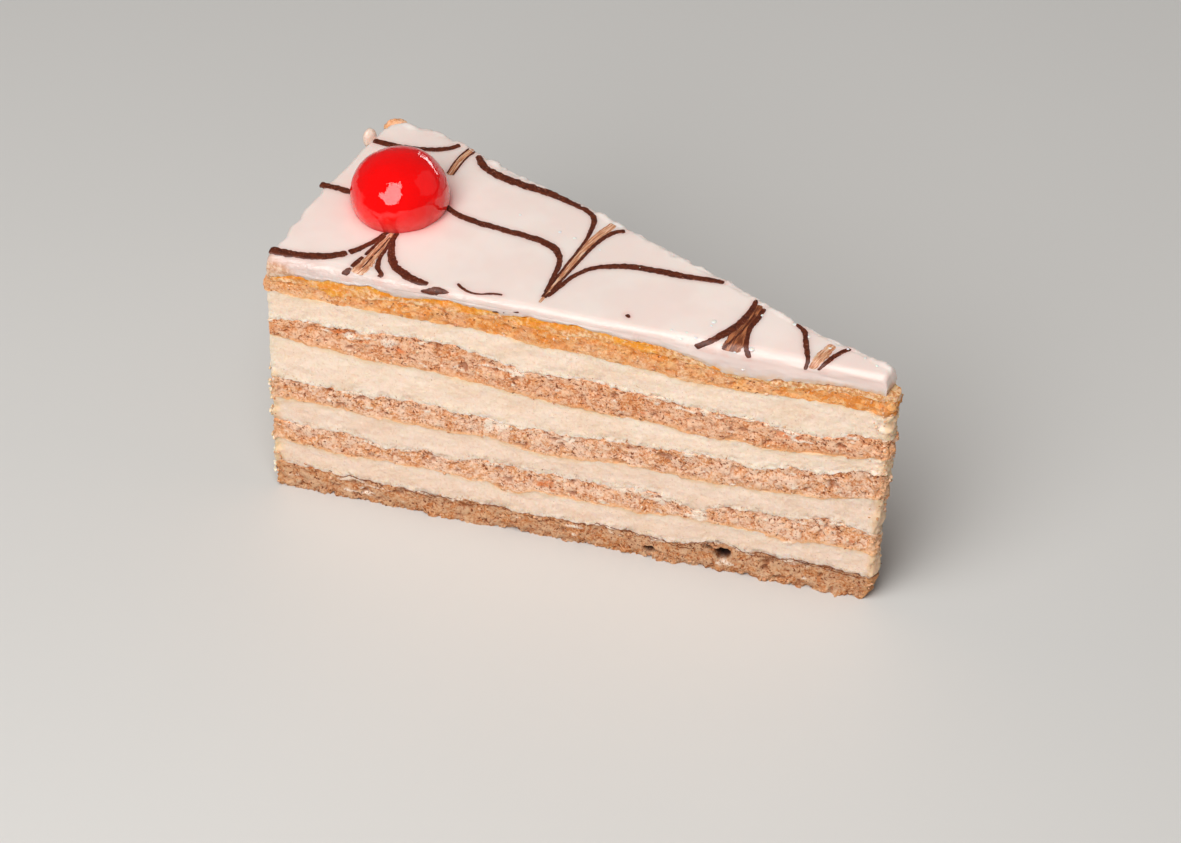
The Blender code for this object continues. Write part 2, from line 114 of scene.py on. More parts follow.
# Chocolate lines on the icing, as (u, y, width)
CHOCOLATE_LINES = {
    "far_left": ((2.3, 14.2, 1.3), (6.0, 14.7, 1.3), (9.5, 15.5, 1.2), (12.8, 16.9, 1.1),
                 (15.0, 18.4, 1.1), (16.4, 20.2, 1.0)),
    "far_right": ((20.8, 19.2, 1.0), (21.3, 18.5, 1.2), (23.2, 16.9, 1.4), (27.0, 15.9, 1.6),
                  (32.0, 15.6, 1.6), (37.0, 15.7, 1.5), (41.0, 15.1, 1.2), (45.0, 14.4, 1.0),
                  (47.2, 13.0, 0.9), (48.3, 10.0, 0.8), (48.9, 6.0, 0.6), (49.2, -3.0, 0.5),
                  (49.6, -9.9, 0.5)),
    "far_point_side": ((53.6, 12.5, 1.0), (52.2, 11.4, 1.0), (51.2, 9.0, 0.9), (50.6, 5.0, 0.7),
                       (50.5, 0.0, 0.5), (50.3, -5.0, 0.5), (50.1, -9.9, 0.5)),
    "middle_left": ((0.3, -0.8, 1.2), (3.0, -0.5, 1.3), (7.5, -0.2, 1.3)),
    "middle_right": ((22.6, 4.2, 1.0), (23.6, 3.8, 1.1), (26.0, 3.0, 1.2), (30.0, 2.7, 1.3),
                     (35.0, 3.0, 1.3), (40.0, 3.4, 1.4), (43.4, 3.2, 1.4), (45.8, 2.2, 1.2),
                     (47.3, 0.5, 1.0), (48.2, -2.0, 0.9), (48.9, -5.5, 0.7), (49.4, -8.5, 0.6)),
    "middle_point_side": ((50.4, -9.4, 0.6), (50.9, -5.8, 0.9), (51.6, -2.5, 0.9),
                          (53.0, 0.4, 1.0), (55.5, 2.6, 1.2), (59.0, 4.4, 1.3),
                          (63.0, 5.4, 1.4), (68.0, 6.4, 1.4), (72.0, 7.4, 1.3), (75.2, 8.1, 0.9)),
    "near_left": ((1.9, -20.7, 1.8), (3.6, -20.4, 1.8), (7.0, -19.6, 1.7), (10.5, -18.2, 1.7),
                  (12.8, -16.6, 1.5), (14.1, -15.2, 1.3)),
    "near_left_inner": ((14.35, -14.9, 1.3), (15.2, -13.5, 1.2), (16.6, -10.5, 1.0), (17.5, -6.4, 0.9)),
    "near_right": ((19.0, -6.4, 0.9), (19.4, -8.6, 0.9), (20.2, -10.4, 1.1), (21.6, -12.8, 1.3),
                   (23.6, -14.7, 1.5), (26.2, -15.8, 1.6), (28.6, -16.2, 1.7), (30.6, -16.0, 1.0)),
    "near_chip": ((30.4, -18.1, 0.5), (31.8, -17.5, 1.6), (33.0, -16.8, 1.9), (34.9, -16.3, 0.4)),
    "first_drag_left": ((17.6, -8.1, 0.5), (17.4, -11.0, 0.6), (17.15, -14.2, 0.6)),
    "first_drag_left_low": ((17.05, -14.9, 0.7), (16.85, -16.6, 0.8), (16.75, -18.1, 0.8)),
    "first_drag_left_end": ((16.7, -18.5, 0.7), (16.6, -19.4, 1.1), (16.6, -20.6, 1.2)),
    "first_drag_middle": ((18.5, -8.1, 0.3), (18.6, -11.0, 0.3), (18.5, -14.0, 0.3), (18.5, -17.5, 0.25)),
    "first_drag_right": ((18.9, -8.1, 0.5), (19.4, -10.3, 0.6), (19.75, -13.5, 0.8), (20.6, -16.0, 0.9),
                         (22.2, -17.4, 0.8), (22.2, -18.3, 0.9)),
    "first_drag_far_left": ((18.3, 20.0, 0.35), (17.9, 16.9, 0.35), (18.3, 12.2, 0.3)),
    "first_drag_far_right": ((19.6, 19.8, 0.35), (19.2, 16.9, 0.35), (19.5, 12.2, 0.3)),
    "red_curve": ((35.1, -13.5, 0.5), (36.4, -14.2, 0.6), (38.1, -14.6, 0.45), (39.9, -14.2, 0.4),
                  (41.7, -13.1, 0.5), (43.3, -12.6, 0.4)),
    "edge_curve": ((43.9, -17.3, 0.3), (45.2, -16.6, 0.7), (46.6, -16.0, 0.4), (48.0, -15.3, 0.4)),
    "speck": ((64.6, -7.3, 0.8), (65.4, -7.8, 0.5)),
    "third_drag_left": ((82.25, 6.5, 0.6), (82.7, 4.4, 1.1), (82.8, 2.0, 1.2), (82.5, -1.5, 1.4),
                        (81.6, -4.0, 1.5), (81.0, -5.5, 1.3), (80.2, -7.2, 1.4), (79.0, -9.3, 1.2)),
    "third_drag_right": ((84.5, 5.0, 0.8), (84.75, 2.5, 0.9), (84.75, -0.5, 0.9), (85.5, -3.0, 0.8),
                         (86.5, -5.5, 0.9), (88.25, -7.5, 0.8)),
    "third_drag_middle": ((83.8, 3.0, 0.3), (83.9, -2.0, 0.35), (83.6, -5.0, 0.4), (83.2, -7.6, 0.5)),
    "third_drag_flake": ((81.0, -11.0, 0.8), (82.5, -12.0, 0.9)),
    "fourth_drag_left": ((91.25, 4.0, 0.6), (93.25, 3.0, 0.9), (94.5, 1.0, 0.9), (96.0, -1.5, 0.9),
                         (97.25, -3.5, 0.7), (98.0, -5.75, 0.5)),
    "fourth_drag_right": ((102.25, 2.5, 0.8), (101.25, 1.0, 0.9), (100.5, -1.5, 0.9), (100.0, -5.0, 0.6)),
}

# Tan marks that the knife dragged through the lines, as (u, y, width)
STREAKS = {
    "first_far": ((19.0, 20.2, 1.1), (18.5, 16.9, 1.3), (18.9, 12.0, 1.2)),
    "first_fan": ((18.3, -6.9, 1.0), (18.4, -10.0, 1.8), (18.4, -14.0, 2.5), (18.4, -17.5, 3.2),
                  (18.2, -19.4, 2.6)),
    "second": ((51.0, 13.2, 1.6), (50.2, 9.5, 1.8), (49.7, 4.0, 1.5), (49.8, -3.0, 1.2), (49.9, -11.4, 0.6)),
    "third": ((83.5, 5.5, 1.4), (83.8, 2.0, 2.0), (84.0, -2.0, 2.8), (84.2, -5.0, 3.8), (84.6, -7.6, 4.2)),
    "fourth": ((99.2, 2.0, 1.6), (98.8, -1.5, 2.4), (98.8, -5.2, 1.4)),
}
LINE_HEIGHT = 0.14
STREAK_HEIGHT = 0.10
LINE_WIDENING = 1.2

# Streaks that are brown instead of tan
DEEP_STREAKS = ("third",)

# Candied cherry half
CHERRY_CENTRE = (15.3, 1.05)
CHERRY_RADIUS = (8.7, 8.8)
CHERRY_SIDE = 2.1
CHERRY_DOME = 7.7
CHERRY_SQUARENESS = 2.1
CHERRY_GRID = (180, 64)

# Lumps at the rim, as (u, y, height). The corner's is larger than in the solids, and the icing is
# pulled in beside it
BEAD_PLACE = (0.9, 15.2, 51.5)
BEAD_SIZE = (1.05, 1.4, 1.75)
BEAD_TURN = -0.1
CORNER_LUMP_PLACE = (3.0, 21.1, 48.5)
CORNER_LUMP_SIZE = (2.8, 1.6, 3.5)
CORNER_LUMP_TURN = 0.5
CORNER_PULL = 1.7

# Cream and chopped nuts on the rim
COAT_BOTTOM = 0.9
COAT_TOP = 43.4
COAT_NUT_TOP = 26.0
COAT_CREAM_THICKNESS = 0.95
COAT_NUT_THICKNESS = 0.7
COAT_GRID = (170, 130)
NUT_COUNT = 620
NUT_SPAN = 0.94
NUT_SIZE = (0.45, 1.0)
NUT_SHAPE = ((0.9, 1.3), (0.6, 1.0), (0.45, 0.75))
CORNER_NUT_COUNT = 64
CORNER_NUT_SPAN = (0.955, 0.998)
CORNER_NUT_OFFSET = (1.0, 1.45)

# Where the blunt point's rougher surface begins and is full, as distances from the rim
POINT_REACH = (107.0, 110.0)

# Marks on the near cut, as (distance from the rim, height, half length, half height)
CREAM_SMEARS = ((32, 14.3, 2.3, 0.7), (63.5, 14.7, 2.0, 0.7), (71, 14.0, 1.3, 0.8), (78, 13.0, 1.3, 2.2),
                (91.5, 6.7, 3.6, 0.6), (83.0, 2.3, 1.9, 0.45), (40, 23.6, 0.9, 1.6), (84, 16.0, 1.6, 0.6),
                (22, 38.0, 1.6, 0.9), (15, 37.6, 1.8, 0.5), (79, 36.4, 0.9, 0.7), (10, 46.5, 2.0, 0.5))
STAINS = ((94.5, 34.8, 2.4, 0.9), (13, 38.2, 1.7, 0.5), (24, 36.4, 1.0, 0.6), (104, 37.2, 2.4, 0.35),
          (68, 33.4, 0.8, 0.4), (105, 13.4, 1.1, 0.5), (50, 12.5, 1.5, 0.6))
# The cavities are carved and then painted near black with a dark rim, as painted shade
CAVITIES = ((82.0, 4.0, 1.3, 1.2), (69.0, 2.1, 1.1, 0.65), (79.6, 5.2, 0.9, 0.45))
CAVITY_DEPTH = 3.0

# Where the jam lies thickest, as (distance from the rim, half length)
JAM_POOLS = ((12, 5), (37, 2.5), (48, 4), (67, 5))

# Loose bits on the cut faces
CRUMB_COUNT = 1100
CRUMB_SIZE = (0.12, 0.36)
SKIN_COUNT = 1100
SKIN_SHAPE = ((0.12, 0.42), (0.06, 0.13), (0.04, 0.07))
STRAND_SIDES = 6

# Strands of nut skin along the lowest sponge's top, as (from, to) distances from the rim
SKIN_STRANDS = ((12, 20), (22, 30), (27, 33), (35, 44), (46, 52), (55, 66), (64, 71), (69, 77), (73, 80),
                (84, 92), (87, 91), (90, 99), (95, 104), (100, 108))

# Drops of syrup on the icing, as (u, y, radius)
DROPS = ((78.6, -2.0, 0.3), (78.7, -3.2, 0.2), (87.6, -5.5, 0.42), (77.8, -7.2, 0.22),
         (88.8, -10.6, 0.3), (94.6, 2.1, 0.25), (91.0, 3.8, 0.25), (99.1, 1.0, 0.22),
         (101.9, 2.2, 0.25), (73.2, -7.3, 0.18), (75.8, -8.6, 0.2), (75.8, -6.7, 0.16),
         (85.0, 3.3, 0.22), (85.4, -7.4, 0.18), (82.6, -6.8, 0.16), (60.6, 4.9, 0.2),
         (52.2, 6.0, 0.18), (43.7, 7.1, 0.2), (108.2, 0.6, 0.22), (105.5, 1.5, 0.2),
         (35.3, 8.0, 0.2), (46.8, 6.8, 0.2))

# Mesh fineness
COLUMN = 0.25
TIP_COLUMNS = 14
RIM_COLUMNS = 120
ICING_COLUMNS = 65
ICING_WALL_ROWS = 12
ROW = 0.25

# Camera, as the photograph shows the slice
PHOTO_WIDTH = 1181
CAMERA_AZIMUTH = math.radians(29.02)
CAMERA_ELEVATION = math.radians(40.61)
CAMERA_ROLL = math.radians(-0.679)
CAMERA_DISTANCE = 1.0323
CAMERA_TARGET = (APEX[0] - 60 - 2.2, APEX[1] - 8.2, 25.95)
CAMERA_FOCAL_PIXELS = 5958.5


# Noise

def cell_hash(cells, seed):
    """Repeatable number from 0 to 1 for each of the cells (..., 3)."""
    i, j, k = (cells[..., n].astype(np.uint32) for n in range(3))
    h = i * np.uint32(374761393) + j * np.uint32(668265263) + k * np.uint32(1274126177)
    h += np.uint32((seed * 2654435761) % 2**32)
    for shift, factor in ((15, 2246822519), (13, 3266489917)):
        h ^= h >> np.uint32(shift)
        h *= np.uint32(factor)
    h ^= h >> np.uint32(16)
    return h.astype(float) / 2**32


def soft_noise(points, size, seed):
    """Smooth noise from -1 to 1 at points (..., 3), with features of about size millimetres. size may
    be three lengths, for noise that is drawn out along an axis."""
    q = points / np.asarray(size, float)
    base = np.floor(q).astype(np.int64)
    f = q - base
    f = f * f * (3 - 2 * f)
    total = np.zeros(points.shape[:-1])
    for corner in np.ndindex(2, 2, 2):
        weight = np.prod(np.where(corner, f, 1 - f), axis=-1)
        total += weight * cell_hash(base + np.array(corner), seed)
    return 2 * total - 1


def layered_noise(points, size, seed, octaves=3, fade=0.55):
    total = np.zeros(points.shape[:-1])
    for n in range(octaves):
        total += fade**n * soft_noise(points, np.asarray(size, float) / 2.03**n, seed + 17 * n)
    return total


def grains(points, size, seed):
    """For each point, the distance to the nearest of scattered grain centres, in sizes, and that
    grain's own number from 0 to 1."""
    q = points / size
    base = np.floor(q).astype(np.int64)
    nearest = np.full(points.shape[:-1], 9.0)
    number = np.zeros(points.shape[:-1])
    for step in np.ndindex(3, 3, 3):
        cell = base + np.array(step) - 1
        centre = cell + np.stack([cell_hash(cell, seed + n) for n in (1, 2, 3)], axis=-1)
        distance = np.linalg.norm(centre - q, axis=-1)
        closer = distance < nearest
        nearest = np.where(closer, distance, nearest)
        number = np.where(closer, cell_hash(cell, seed + 4), number)
    return nearest, number


def line_noise(s, size, seed):
    """Smooth noise along a length, from -1 to 1."""
    middle = np.full(np.shape(s), 0.5)
    return soft_noise(np.stack([s, middle, middle], axis=-1), size, seed)


def smooth_step(low, high, value):
    f = np.clip((value - low) / (high - low), 0, 1)
    return f * f * (3 - 2 * f)


# The slice's shape

def smooth_curve(pairs, blur):
    """Function through (place, value) pairs, rounded off over blur millimetres."""
    grid = np.arange(-40.0, 160.0, 0.25)
    values = np.interp(grid, *zip(*pairs))
    window = np.hanning(max(3, int(2 * blur / 0.25) | 1))
    blurred = np.convolve(values, window / window.sum(), mode="same")
    return lambda s: np.interp(s, grid, blurred)


def station_curve(values):
    return smooth_curve([(STATION_STEP * i, v) for i, v in enumerate(values)], 8.0)


far_wander = station_curve(FAR_CUT_WANDER)
near_setback = station_curve(NEAR_BASE_SETBACK)
point_end = smooth_curve(POINT_PROFILE, 1.0)
near_curves = {name: smooth_curve(pairs, 2.2) for name, pairs in NEAR_TOPS.items()}
broad_curves = {name: smooth_curve(pairs, 16.0) for name, pairs in NEAR_TOPS.items()}


def layer_top(name, s, t):
    """Height of a layer's top: as measured on the near cut, and on the far cut evened out by its own
    mirror, with a ragged edge of its own on each."""
    seed = 100 + 7 * LAYERS.index(name)
    side = np.sign(t)
    along = s + 300 * side
    ragged = 0.3 * line_noise(along, 3.1, seed) + 0.3 * line_noise(along, 1.25, seed + 1)
    ragged += 0.22 * line_noise(along, 0.6, seed + 2)
    far = (broad_curves[name](s) + broad_curves[name](STATION_LENGTH - s)) / 2
    share = (t + 1) / 2
    return near_curves[name](s) * (1 - share) + far * share + ragged * np.abs(t) ** 8


def layer_bottom(name, s, t):
    index = LAYERS.index(name)
    return np.zeros_like(s) if index == 0 else layer_top(LAYERS[index - 1], s, t)


def on_slice(s, t, z):
    """Points (..., 3) in millimetres at s, t and height z."""
    s, t, z = np.broadcast_arrays(np.asarray(s, float), t, z)
    flattening = RIM_FLATTENING * (1 - t * t) * np.clip(1 - s / RIM_FLATTENING_REACH, 0, None)
    radius = CAKE_RADIUS - s - flattening
    x = APEX[0] - radius * np.cos(t * HALF_ANGLE)
    y = APEX[1] + radius * np.sin(t * HALF_ANGLE)
    y = y + np.clip(t, 0, None) * far_wander(s)
    y = y + np.clip(-t, 0, None) * (1 - np.clip(z / ICING_TOP, 0, 1)) * near_setback(s)
    return np.stack([x, y, z], axis=-1)


def ring(rim_start, corner_trim=0.0, rim_inset=0.0):
    """Columns round the slice, from the near rim corner to the point, back along the far cut and
    round the rim: the share of the way from rim to point, t, and which side each is on."""
    count = round((CAKE_RADIUS - 8) / COLUMN)
    share = np.linspace(0, 1, count + 1)
    tip = np.linspace(-1, 1, TIP_COLUMNS + 1)[1:-1]
    rim = np.linspace(1, -1, RIM_COLUMNS + 1)[1:-1]
    shares = np.concatenate([share, np.ones(len(tip)), share[::-1], np.zeros(len(rim))])
    ts = np.concatenate([np.full(count + 1, -1.0), tip, np.full(count + 1, 1.0), rim])
    start = np.full(len(ts), rim_start)
    start += corner_trim * np.clip(ts * 4 - 3, 0, None) ** 2 * (shares < 0.5)
    start += rim_inset * smooth_step(1.0, COAT_SPAN - 0.01, np.abs(ts)) * (shares == 0)
    sizes = (count + 1, len(tip), len(rim))
    return shares, ts, start, sizes


def ring_directions(ts, sizes):
    """Outward level direction of each column, turned smoothly at the corners."""
    count, tips, rims = sizes
    near = (math.sin(HALF_ANGLE), -math.cos(HALF_ANGLE), 0.0)
    far = (math.sin(HALF_ANGLE), math.cos(HALF_ANGLE), 0.0)
    rim_angle = ts[-rims:] * HALF_ANGLE
    rim = np.stack([-np.cos(rim_angle), np.sin(rim_angle), np.zeros(rims)], axis=1)
    parts = [np.tile(near, (count, 1)), np.tile((1.0, 0.0, 0.0), (tips, 1)), np.tile(far, (count, 1)), rim]
    directions = smooth_ring(np.concatenate(parts), 3)
    return directions / np.linalg.norm(directions, axis=1, keepdims=True)


def smooth_ring(values, passes):
    for _ in range(passes):
        values = (np.roll(values, 1, axis=-2) + 2 * values + np.roll(values, -1, axis=-2)) / 4
    return values


# Meshes

def make_object(name, vertices, faces, material, attributes=(), recalculate=False):
    """Mesh object from points in millimetres; attributes are (name, one number for each point)."""
    mesh = bpy.data.meshes.new(name)
    mesh.from_pydata((np.asarray(vertices).reshape(-1, 3) * MM).tolist(), [], faces)
    for label, values in attributes:
        layer = mesh.attributes.new(label, "FLOAT", "POINT")
        layer.data.foreach_set("value", np.asarray(values, np.float32).ravel())
    mesh.materials.append(material)
    if recalculate:
        bm = bmesh.new()
        bm.from_mesh(mesh)
        bmesh.ops.recalc_face_normals(bm, faces=bm.faces[:])
        bm.to_mesh(mesh)
        bm.free()
    mesh.shade_smooth()
    mesh.set_sharp_from_angle(angle=math.radians(65))
    mesh.validate()
    obj = bpy.data.objects.new(name, mesh)
    bpy.context.scene.collection.objects.link(obj)
    return obj


def place_piece(obj, slot, *nodes):
    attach(obj, "root")
    if nodes:
        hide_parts(*nodes)
    return obj


def wall_faces(rows, columns, offset=0):
    """Quads of a wall that closes on itself round the ring."""
    r, c = np.meshgrid(np.arange(rows - 1), np.arange(columns), indexing="ij")
    a = (r * columns + c).ravel() + offset
    b = (r * columns + (c + 1) % columns).ravel() + offset
    return np.stack([a, b, b + columns, a + columns], axis=1).tolist()


def grid_faces(index, closed=False):
    """Quads between rows and columns of point numbers; closed joins the last column to the first."""
    if closed:
        index = np.hstack([index, index[:, :1]])
    quads = np.stack([index[:-1, :-1], index[1:, :-1], index[1:, 1:], index[:-1, 1:]], axis=-1)
    return quads.reshape(-1, 4).tolist()


def cap_faces(offset, sizes, up):
    """Strips across a layer's end, with one face at the rim and one at the point."""
    count, tips, rims = sizes
    near = np.arange(count) + offset
    tip = np.arange(tips) + count + offset
    far = np.arange(count)[::-1] + count + tips + offset
    rim = np.arange(rims) + 2 * count + tips + offset
    strips = np.stack([near[:-1], near[1:], far[1:], far[:-1]], axis=1).tolist()
    faces = strips + [[near[-1], *tip.tolist(), far[-1]], [far[0], *rim.tolist(), near[0]]]
    return [[int(v) for v in face] for face in (faces if up else [f[::-1] for f in faces])]


def layer_grid(name, rim_start, corner_trim=0.0, rim_inset=0.0):
    """Grid up the side of a layer and round it: its points (rows, columns, 3), their s, t and share of
    the height, their outward directions, how far they are above the layer's bottom and below its top,
    and the ring's sizes."""
    shares, ts, start, sizes = ring(rim_start, corner_trim, rim_inset)
    middle = np.array([60.0]), np.array([-1.0])
    thickness = layer_top(name, *middle) - layer_bottom(name, *middle)
    rows = max(4, round(float(thickness[0]) / ROW) + 1)
    up = np.linspace(0, 1, rows)[:, None]
    s = start + shares * (110.0 - start)
    low, high = layer_bottom(name, s, ts), layer_top(name, s, ts)
    z = low * (1 - up) + high * up
    start = start + FOOT_SETBACK * smooth_step(6.5, 3.0, z) * (rim_inset > 0)
    s = start + shares * (point_end(z) - start)
    s = s + 0.4 * (1 - ts**2) * (shares == 1)
    points = smooth_ring(on_slice(s, np.broadcast_to(ts, z.shape), z), 2)
    blunt = smooth_step(POINT_REACH[0] + 1.0, POINT_REACH[1], s)[..., None]
    points = points * (1 - blunt) + (smooth_ring(points, 26) + (0.35, 0, 0)) * blunt
    directions = np.broadcast_to(ring_directions(ts, sizes), points.shape)
    t, up = np.broadcast_to(ts, z.shape), np.broadcast_to(up, z.shape)
    height = up * (high - low)
    return points, s, t, up, directions, height, high - low - height, sizes


def layer_object(name, points, sizes, material, attributes):
    rows, columns = points.shape[:2]
    faces = wall_faces(rows, columns)
    faces += cap_faces(0, sizes, up=False) + cap_faces((rows - 1) * columns, sizes, up=True)
    return make_object(name, points, faces, material, attributes)


# Materials

class Signal:
    """A node's output. Sums, differences and products of it are made by Math nodes."""

    def __init__(self, look, socket):
        self.look, self.socket = look, socket

    def __add__(self, other):
        return self.look.math("ADD", self, other)

    def __sub__(self, other):
        return self.look.math("SUBTRACT", self, other)

    def __mul__(self, other):
        return self.look.math("MULTIPLY", self, other)

    def ramp(self, low, high, to_low=0.0, to_high=1.0):
        """Eases from to_low, where this is low, to to_high, where it is high."""
        inputs = {"Value": self, "From Min": low, "From Max": high, "To Min": to_low, "To Max": to_high}
        return self.look.add("MapRange", "Result", inputs, interpolation_type="SMOOTHSTEP")


class Look:
    """A Principled material, with short ways to feed it. Its colour is painted in coats."""

    def __init__(self, name, **sockets):
        self.material = bpy.data.materials.new(name)
        self.material.use_nodes = True
        self.tree = self.material.node_tree
        self.shader = self.tree.nodes["Principled BSDF"]
        for socket, value in sockets.items():
            self.feed(self.shader.inputs[socket.replace("_", " ")], value)
        self.coordinates = self.add("TexCoord", "Object")

    def feed(self, socket, value):
        if isinstance(value, Signal):
            self.tree.links.new(value.socket, socket)
        else:
            socket.default_value = (*value, 1.0) if socket.type == "RGBA" else value

    def add(self, kind, output, inputs=(), **settings):
        """Output of a new node with these inputs and settings."""
        node = self.tree.nodes.new("ShaderNode" + kind)
        for setting, value in settings.items():
            setattr(node, setting, value)
        for socket, value in dict(inputs).items():
            self.feed(node.inputs[socket], value)
        return Signal(self, node.outputs[output])

    def noise(self, size, detail=2.0, roughness=0.5, stretch=None):
        vector = self.coordinates
        if stretch:
            vector = self.add("Mapping", "Vector", {"Vector": vector, "Scale": stretch})
        inputs = {"Vector": vector, "Scale": 1000.0 / size, "Detail": detail, "Roughness": roughness}
        return self.add("TexNoise", "Fac", inputs)

    def cracks(self, size, reach):
        """Distance from the edges between crumbs of about the size, which wander by reach millimetres."""
        inputs = {"Vector": self.coordinates, "Scale": 900.0 / size, "Detail": 3.0}
        wander = self.add("TexNoise", "Color", inputs)
        around = self.vector("SUBTRACT", wander, (0.5, 0.5, 0.5))
        shift = self.vector("MULTIPLY", around, (reach * MM,) * 3)
        inputs = {"Vector": self.vector("ADD", self.coordinates, shift), "Scale": 1000.0 / size}
        return self.add("TexVoronoi", "Distance", inputs, feature="DISTANCE_TO_EDGE")

    def vector(self, operation, a, b):
        return self.add("VectorMath", "Vector", {0: a, 1: b}, operation=operation)

    def math(self, operation, a, b=0.0):
        return self.add("Math", "Value", {0: a, 1: b}, operation=operation)

    def mix(self, factor, a, b, blend="MIX"):
        inputs = {"Factor": factor, "A": a, "B": b}
        return self.add("Mix", "Result", inputs, data_type="RGBA", blend_type=blend)

    def attribute(self, name):
        return self.add("Attribute", "Fac", attribute_name=name)

    def paint(self, cover, colour, blend="MIX"):
        """One more coat of the colour, where cover is 1."""
        self.coat = self.mix(cover, self.coat, colour, blend)

    def rough(self, value):
        self.feed(self.shader.inputs["Roughness"], value)

    def finish(self, *bumps):
        """The material, with its coats and with bumps given as (height, depth in millimetres)."""
        self.feed(self.shader.inputs["Base Color"], self.coat)
        below = {}
        for height, depth in bumps:
            inputs = {"Height": height, "Strength": 1.0, "Distance": depth * MM, **below}
            below = {"Normal": self.add("Bump", "Normal", inputs)}
        for socket, normal in below.items():
            self.feed(self.shader.inputs[socket], normal)
        return self.material


GOLDEN = (0.92, 0.61, 0.35)
NUT_SKIN = (0.23, 0.065, 0.018)


def sponge_look(name, tint, shine=0.22):
    """Crumb in tones that tint darkens or leaves."""
    look = Look(name, Roughness=0.7, Specular_IOR_Level=shine, Subsurface_Weight=0.12,
                Subsurface_Scale=0.0006, Subsurface_Radius=(1.0, 0.55, 0.35))
    soak = look.attribute("soak")
    tone = look.attribute("tone") + look.noise(1.3, 3, 0.65).ramp(0.32, 0.68, -0.5, 0.5)
    look.coat = look.mix(tone.ramp(0.0, 0.9), (0.82, 0.47, 0.26), (0.98, 0.77, 0.60))
    look.paint(look.noise(4.5, 3, 0.6).ramp(0.47, 0.62, 0.0, 0.75), (0.81, 0.43, 0.19))
    look.paint(look.noise(2.4, 3, 0.6).ramp(0.48, 0.56, 0.0, 0.8), (0.97, 0.84, 0.73))
    # Darkening between crumbs, partly the crumb's own darker colour and partly painted shade in the crevices;
    # crevices also get more dark specks
    broken = look.cracks(1.9, 2.6).ramp(0.0, 0.2, 1.0, 0.0) * look.noise(1.7, 2).ramp(0.40, 0.56)
    crack = look.math("MAXIMUM", broken, look.attribute("crevice") * 0.6)
    look.paint(crack * 0.65, (0.60, 0.20, 0.045))
    grain = look.noise(0.42, 3, 0.7)
    look.paint(grain.ramp(0.50, 0.62, 0.0, 0.9), (0.99, 0.84, 0.69))
    look.paint(grain.ramp(0.45, 0.31, 0.0, 0.95), (0.44, 0.13, 0.022))
    darker = crack * 0.07 + look.attribute("upper") * 0.03
    darker = darker + look.noise(3.2, 2).ramp(0.38, 0.62, -0.035, 0.025) - soak * 0.03
    specks = look.noise(0.55, 2, 0.6) + darker
    look.paint(specks.ramp(0.66, 0.69, 0.0, 0.95), NUT_SKIN)
    # Painted shade in the pores
    look.paint(look.attribute("pore_shade"), (0.36, 0.13, 0.055))
    look.paint(look.attribute("low"), GOLDEN)
    amber = look.mix(look.noise(1.6, 3, 0.6).ramp(0.42, 0.60), (0.82, 0.30, 0.02), (0.94, 0.54, 0.21))
    # Pale bits in the soaked crumb: partly pale crumbs, partly painted glints of the wet crumb
    amber = look.mix(grain.ramp(0.56, 0.67, 0.0, 0.65), amber, (0.99, 0.85, 0.62))
    amber = look.mix(grain.ramp(0.43, 0.32, 0.0, 0.7), amber, (0.58, 0.16, 0.01))
    look.paint(soak, amber)
    look.paint(look.attribute("stain") * grain.ramp(0.36, 0.54), (0.80, 0.26, 0.07))
    look.paint(1.0, tint, "MULTIPLY")
    look.paint(look.attribute("smear") * grain.ramp(0.34, 0.50), (0.93, 0.77, 0.63))
    # skin is the browned crust line, and the dark rim round the cavities as painted shade
    look.paint(look.attribute("skin"), (0.09, 0.032, 0.024))
    # Painted shade: the inside of the carved cavities is coloured near black
    look.paint(look.attribute("hollow_shade"), (0.012, 0.005, 0.003))
    look.rough(soak.ramp(0.0, 1.0, 0.72, 0.24))
    return look.finish((look.noise(0.3, 3, 0.65), 0.14), (grain, 0.16), (crack, -0.09))


def cream_look(name, tint):
    look = Look(name, Roughness=0.5, Subsurface_Weight=0.4, Subsurface_Scale=0.002,
                Subsurface_Radius=(1.0, 0.6, 0.35))
    torn = look.attribute("torn")
    soft = look.noise(7.0, 3, 0.5, stretch=(1.0, 1.0, 1.7))
    look.coat = look.mix(soft.ramp(0.36, 0.66), (0.94, 0.76, 0.62), (0.895, 0.69, 0.535))
    grain = look.noise(0.5, 3, 0.7)
    rough_part = torn * 0.6 + 0.36
    look.paint(grain.ramp(0.46, 0.32) * rough_part, (0.74, 0.45, 0.27))
    look.paint(grain.ramp(0.52, 0.66) * rough_part, (0.97, 0.84, 0.72))
    ridge = look.math("ABSOLUTE", look.noise(1.5, 4, 0.65, stretch=(1.0, 1.0, 2.4)) - 0.5)
    where = (look.noise(5.0, 2) + torn * 0.12).ramp(0.52, 0.66)
    look.paint(ridge.ramp(0.0, 0.016, 1.0, 0.0) * where * 0.45, (0.82, 0.50, 0.26))
    look.paint(look.attribute("edge"), GOLDEN)
    specks = look.noise(0.42, 2, 0.6) + torn * 0.06
    look.paint(specks.ramp(0.70, 0.74, 0.0, 0.8), (0.42, 0.18, 0.09))
    look.paint(1.0, tint, "MULTIPLY")
    return look.finish((grain, 0.12), (look.noise(1.6, 3, 0.6), 0.17))


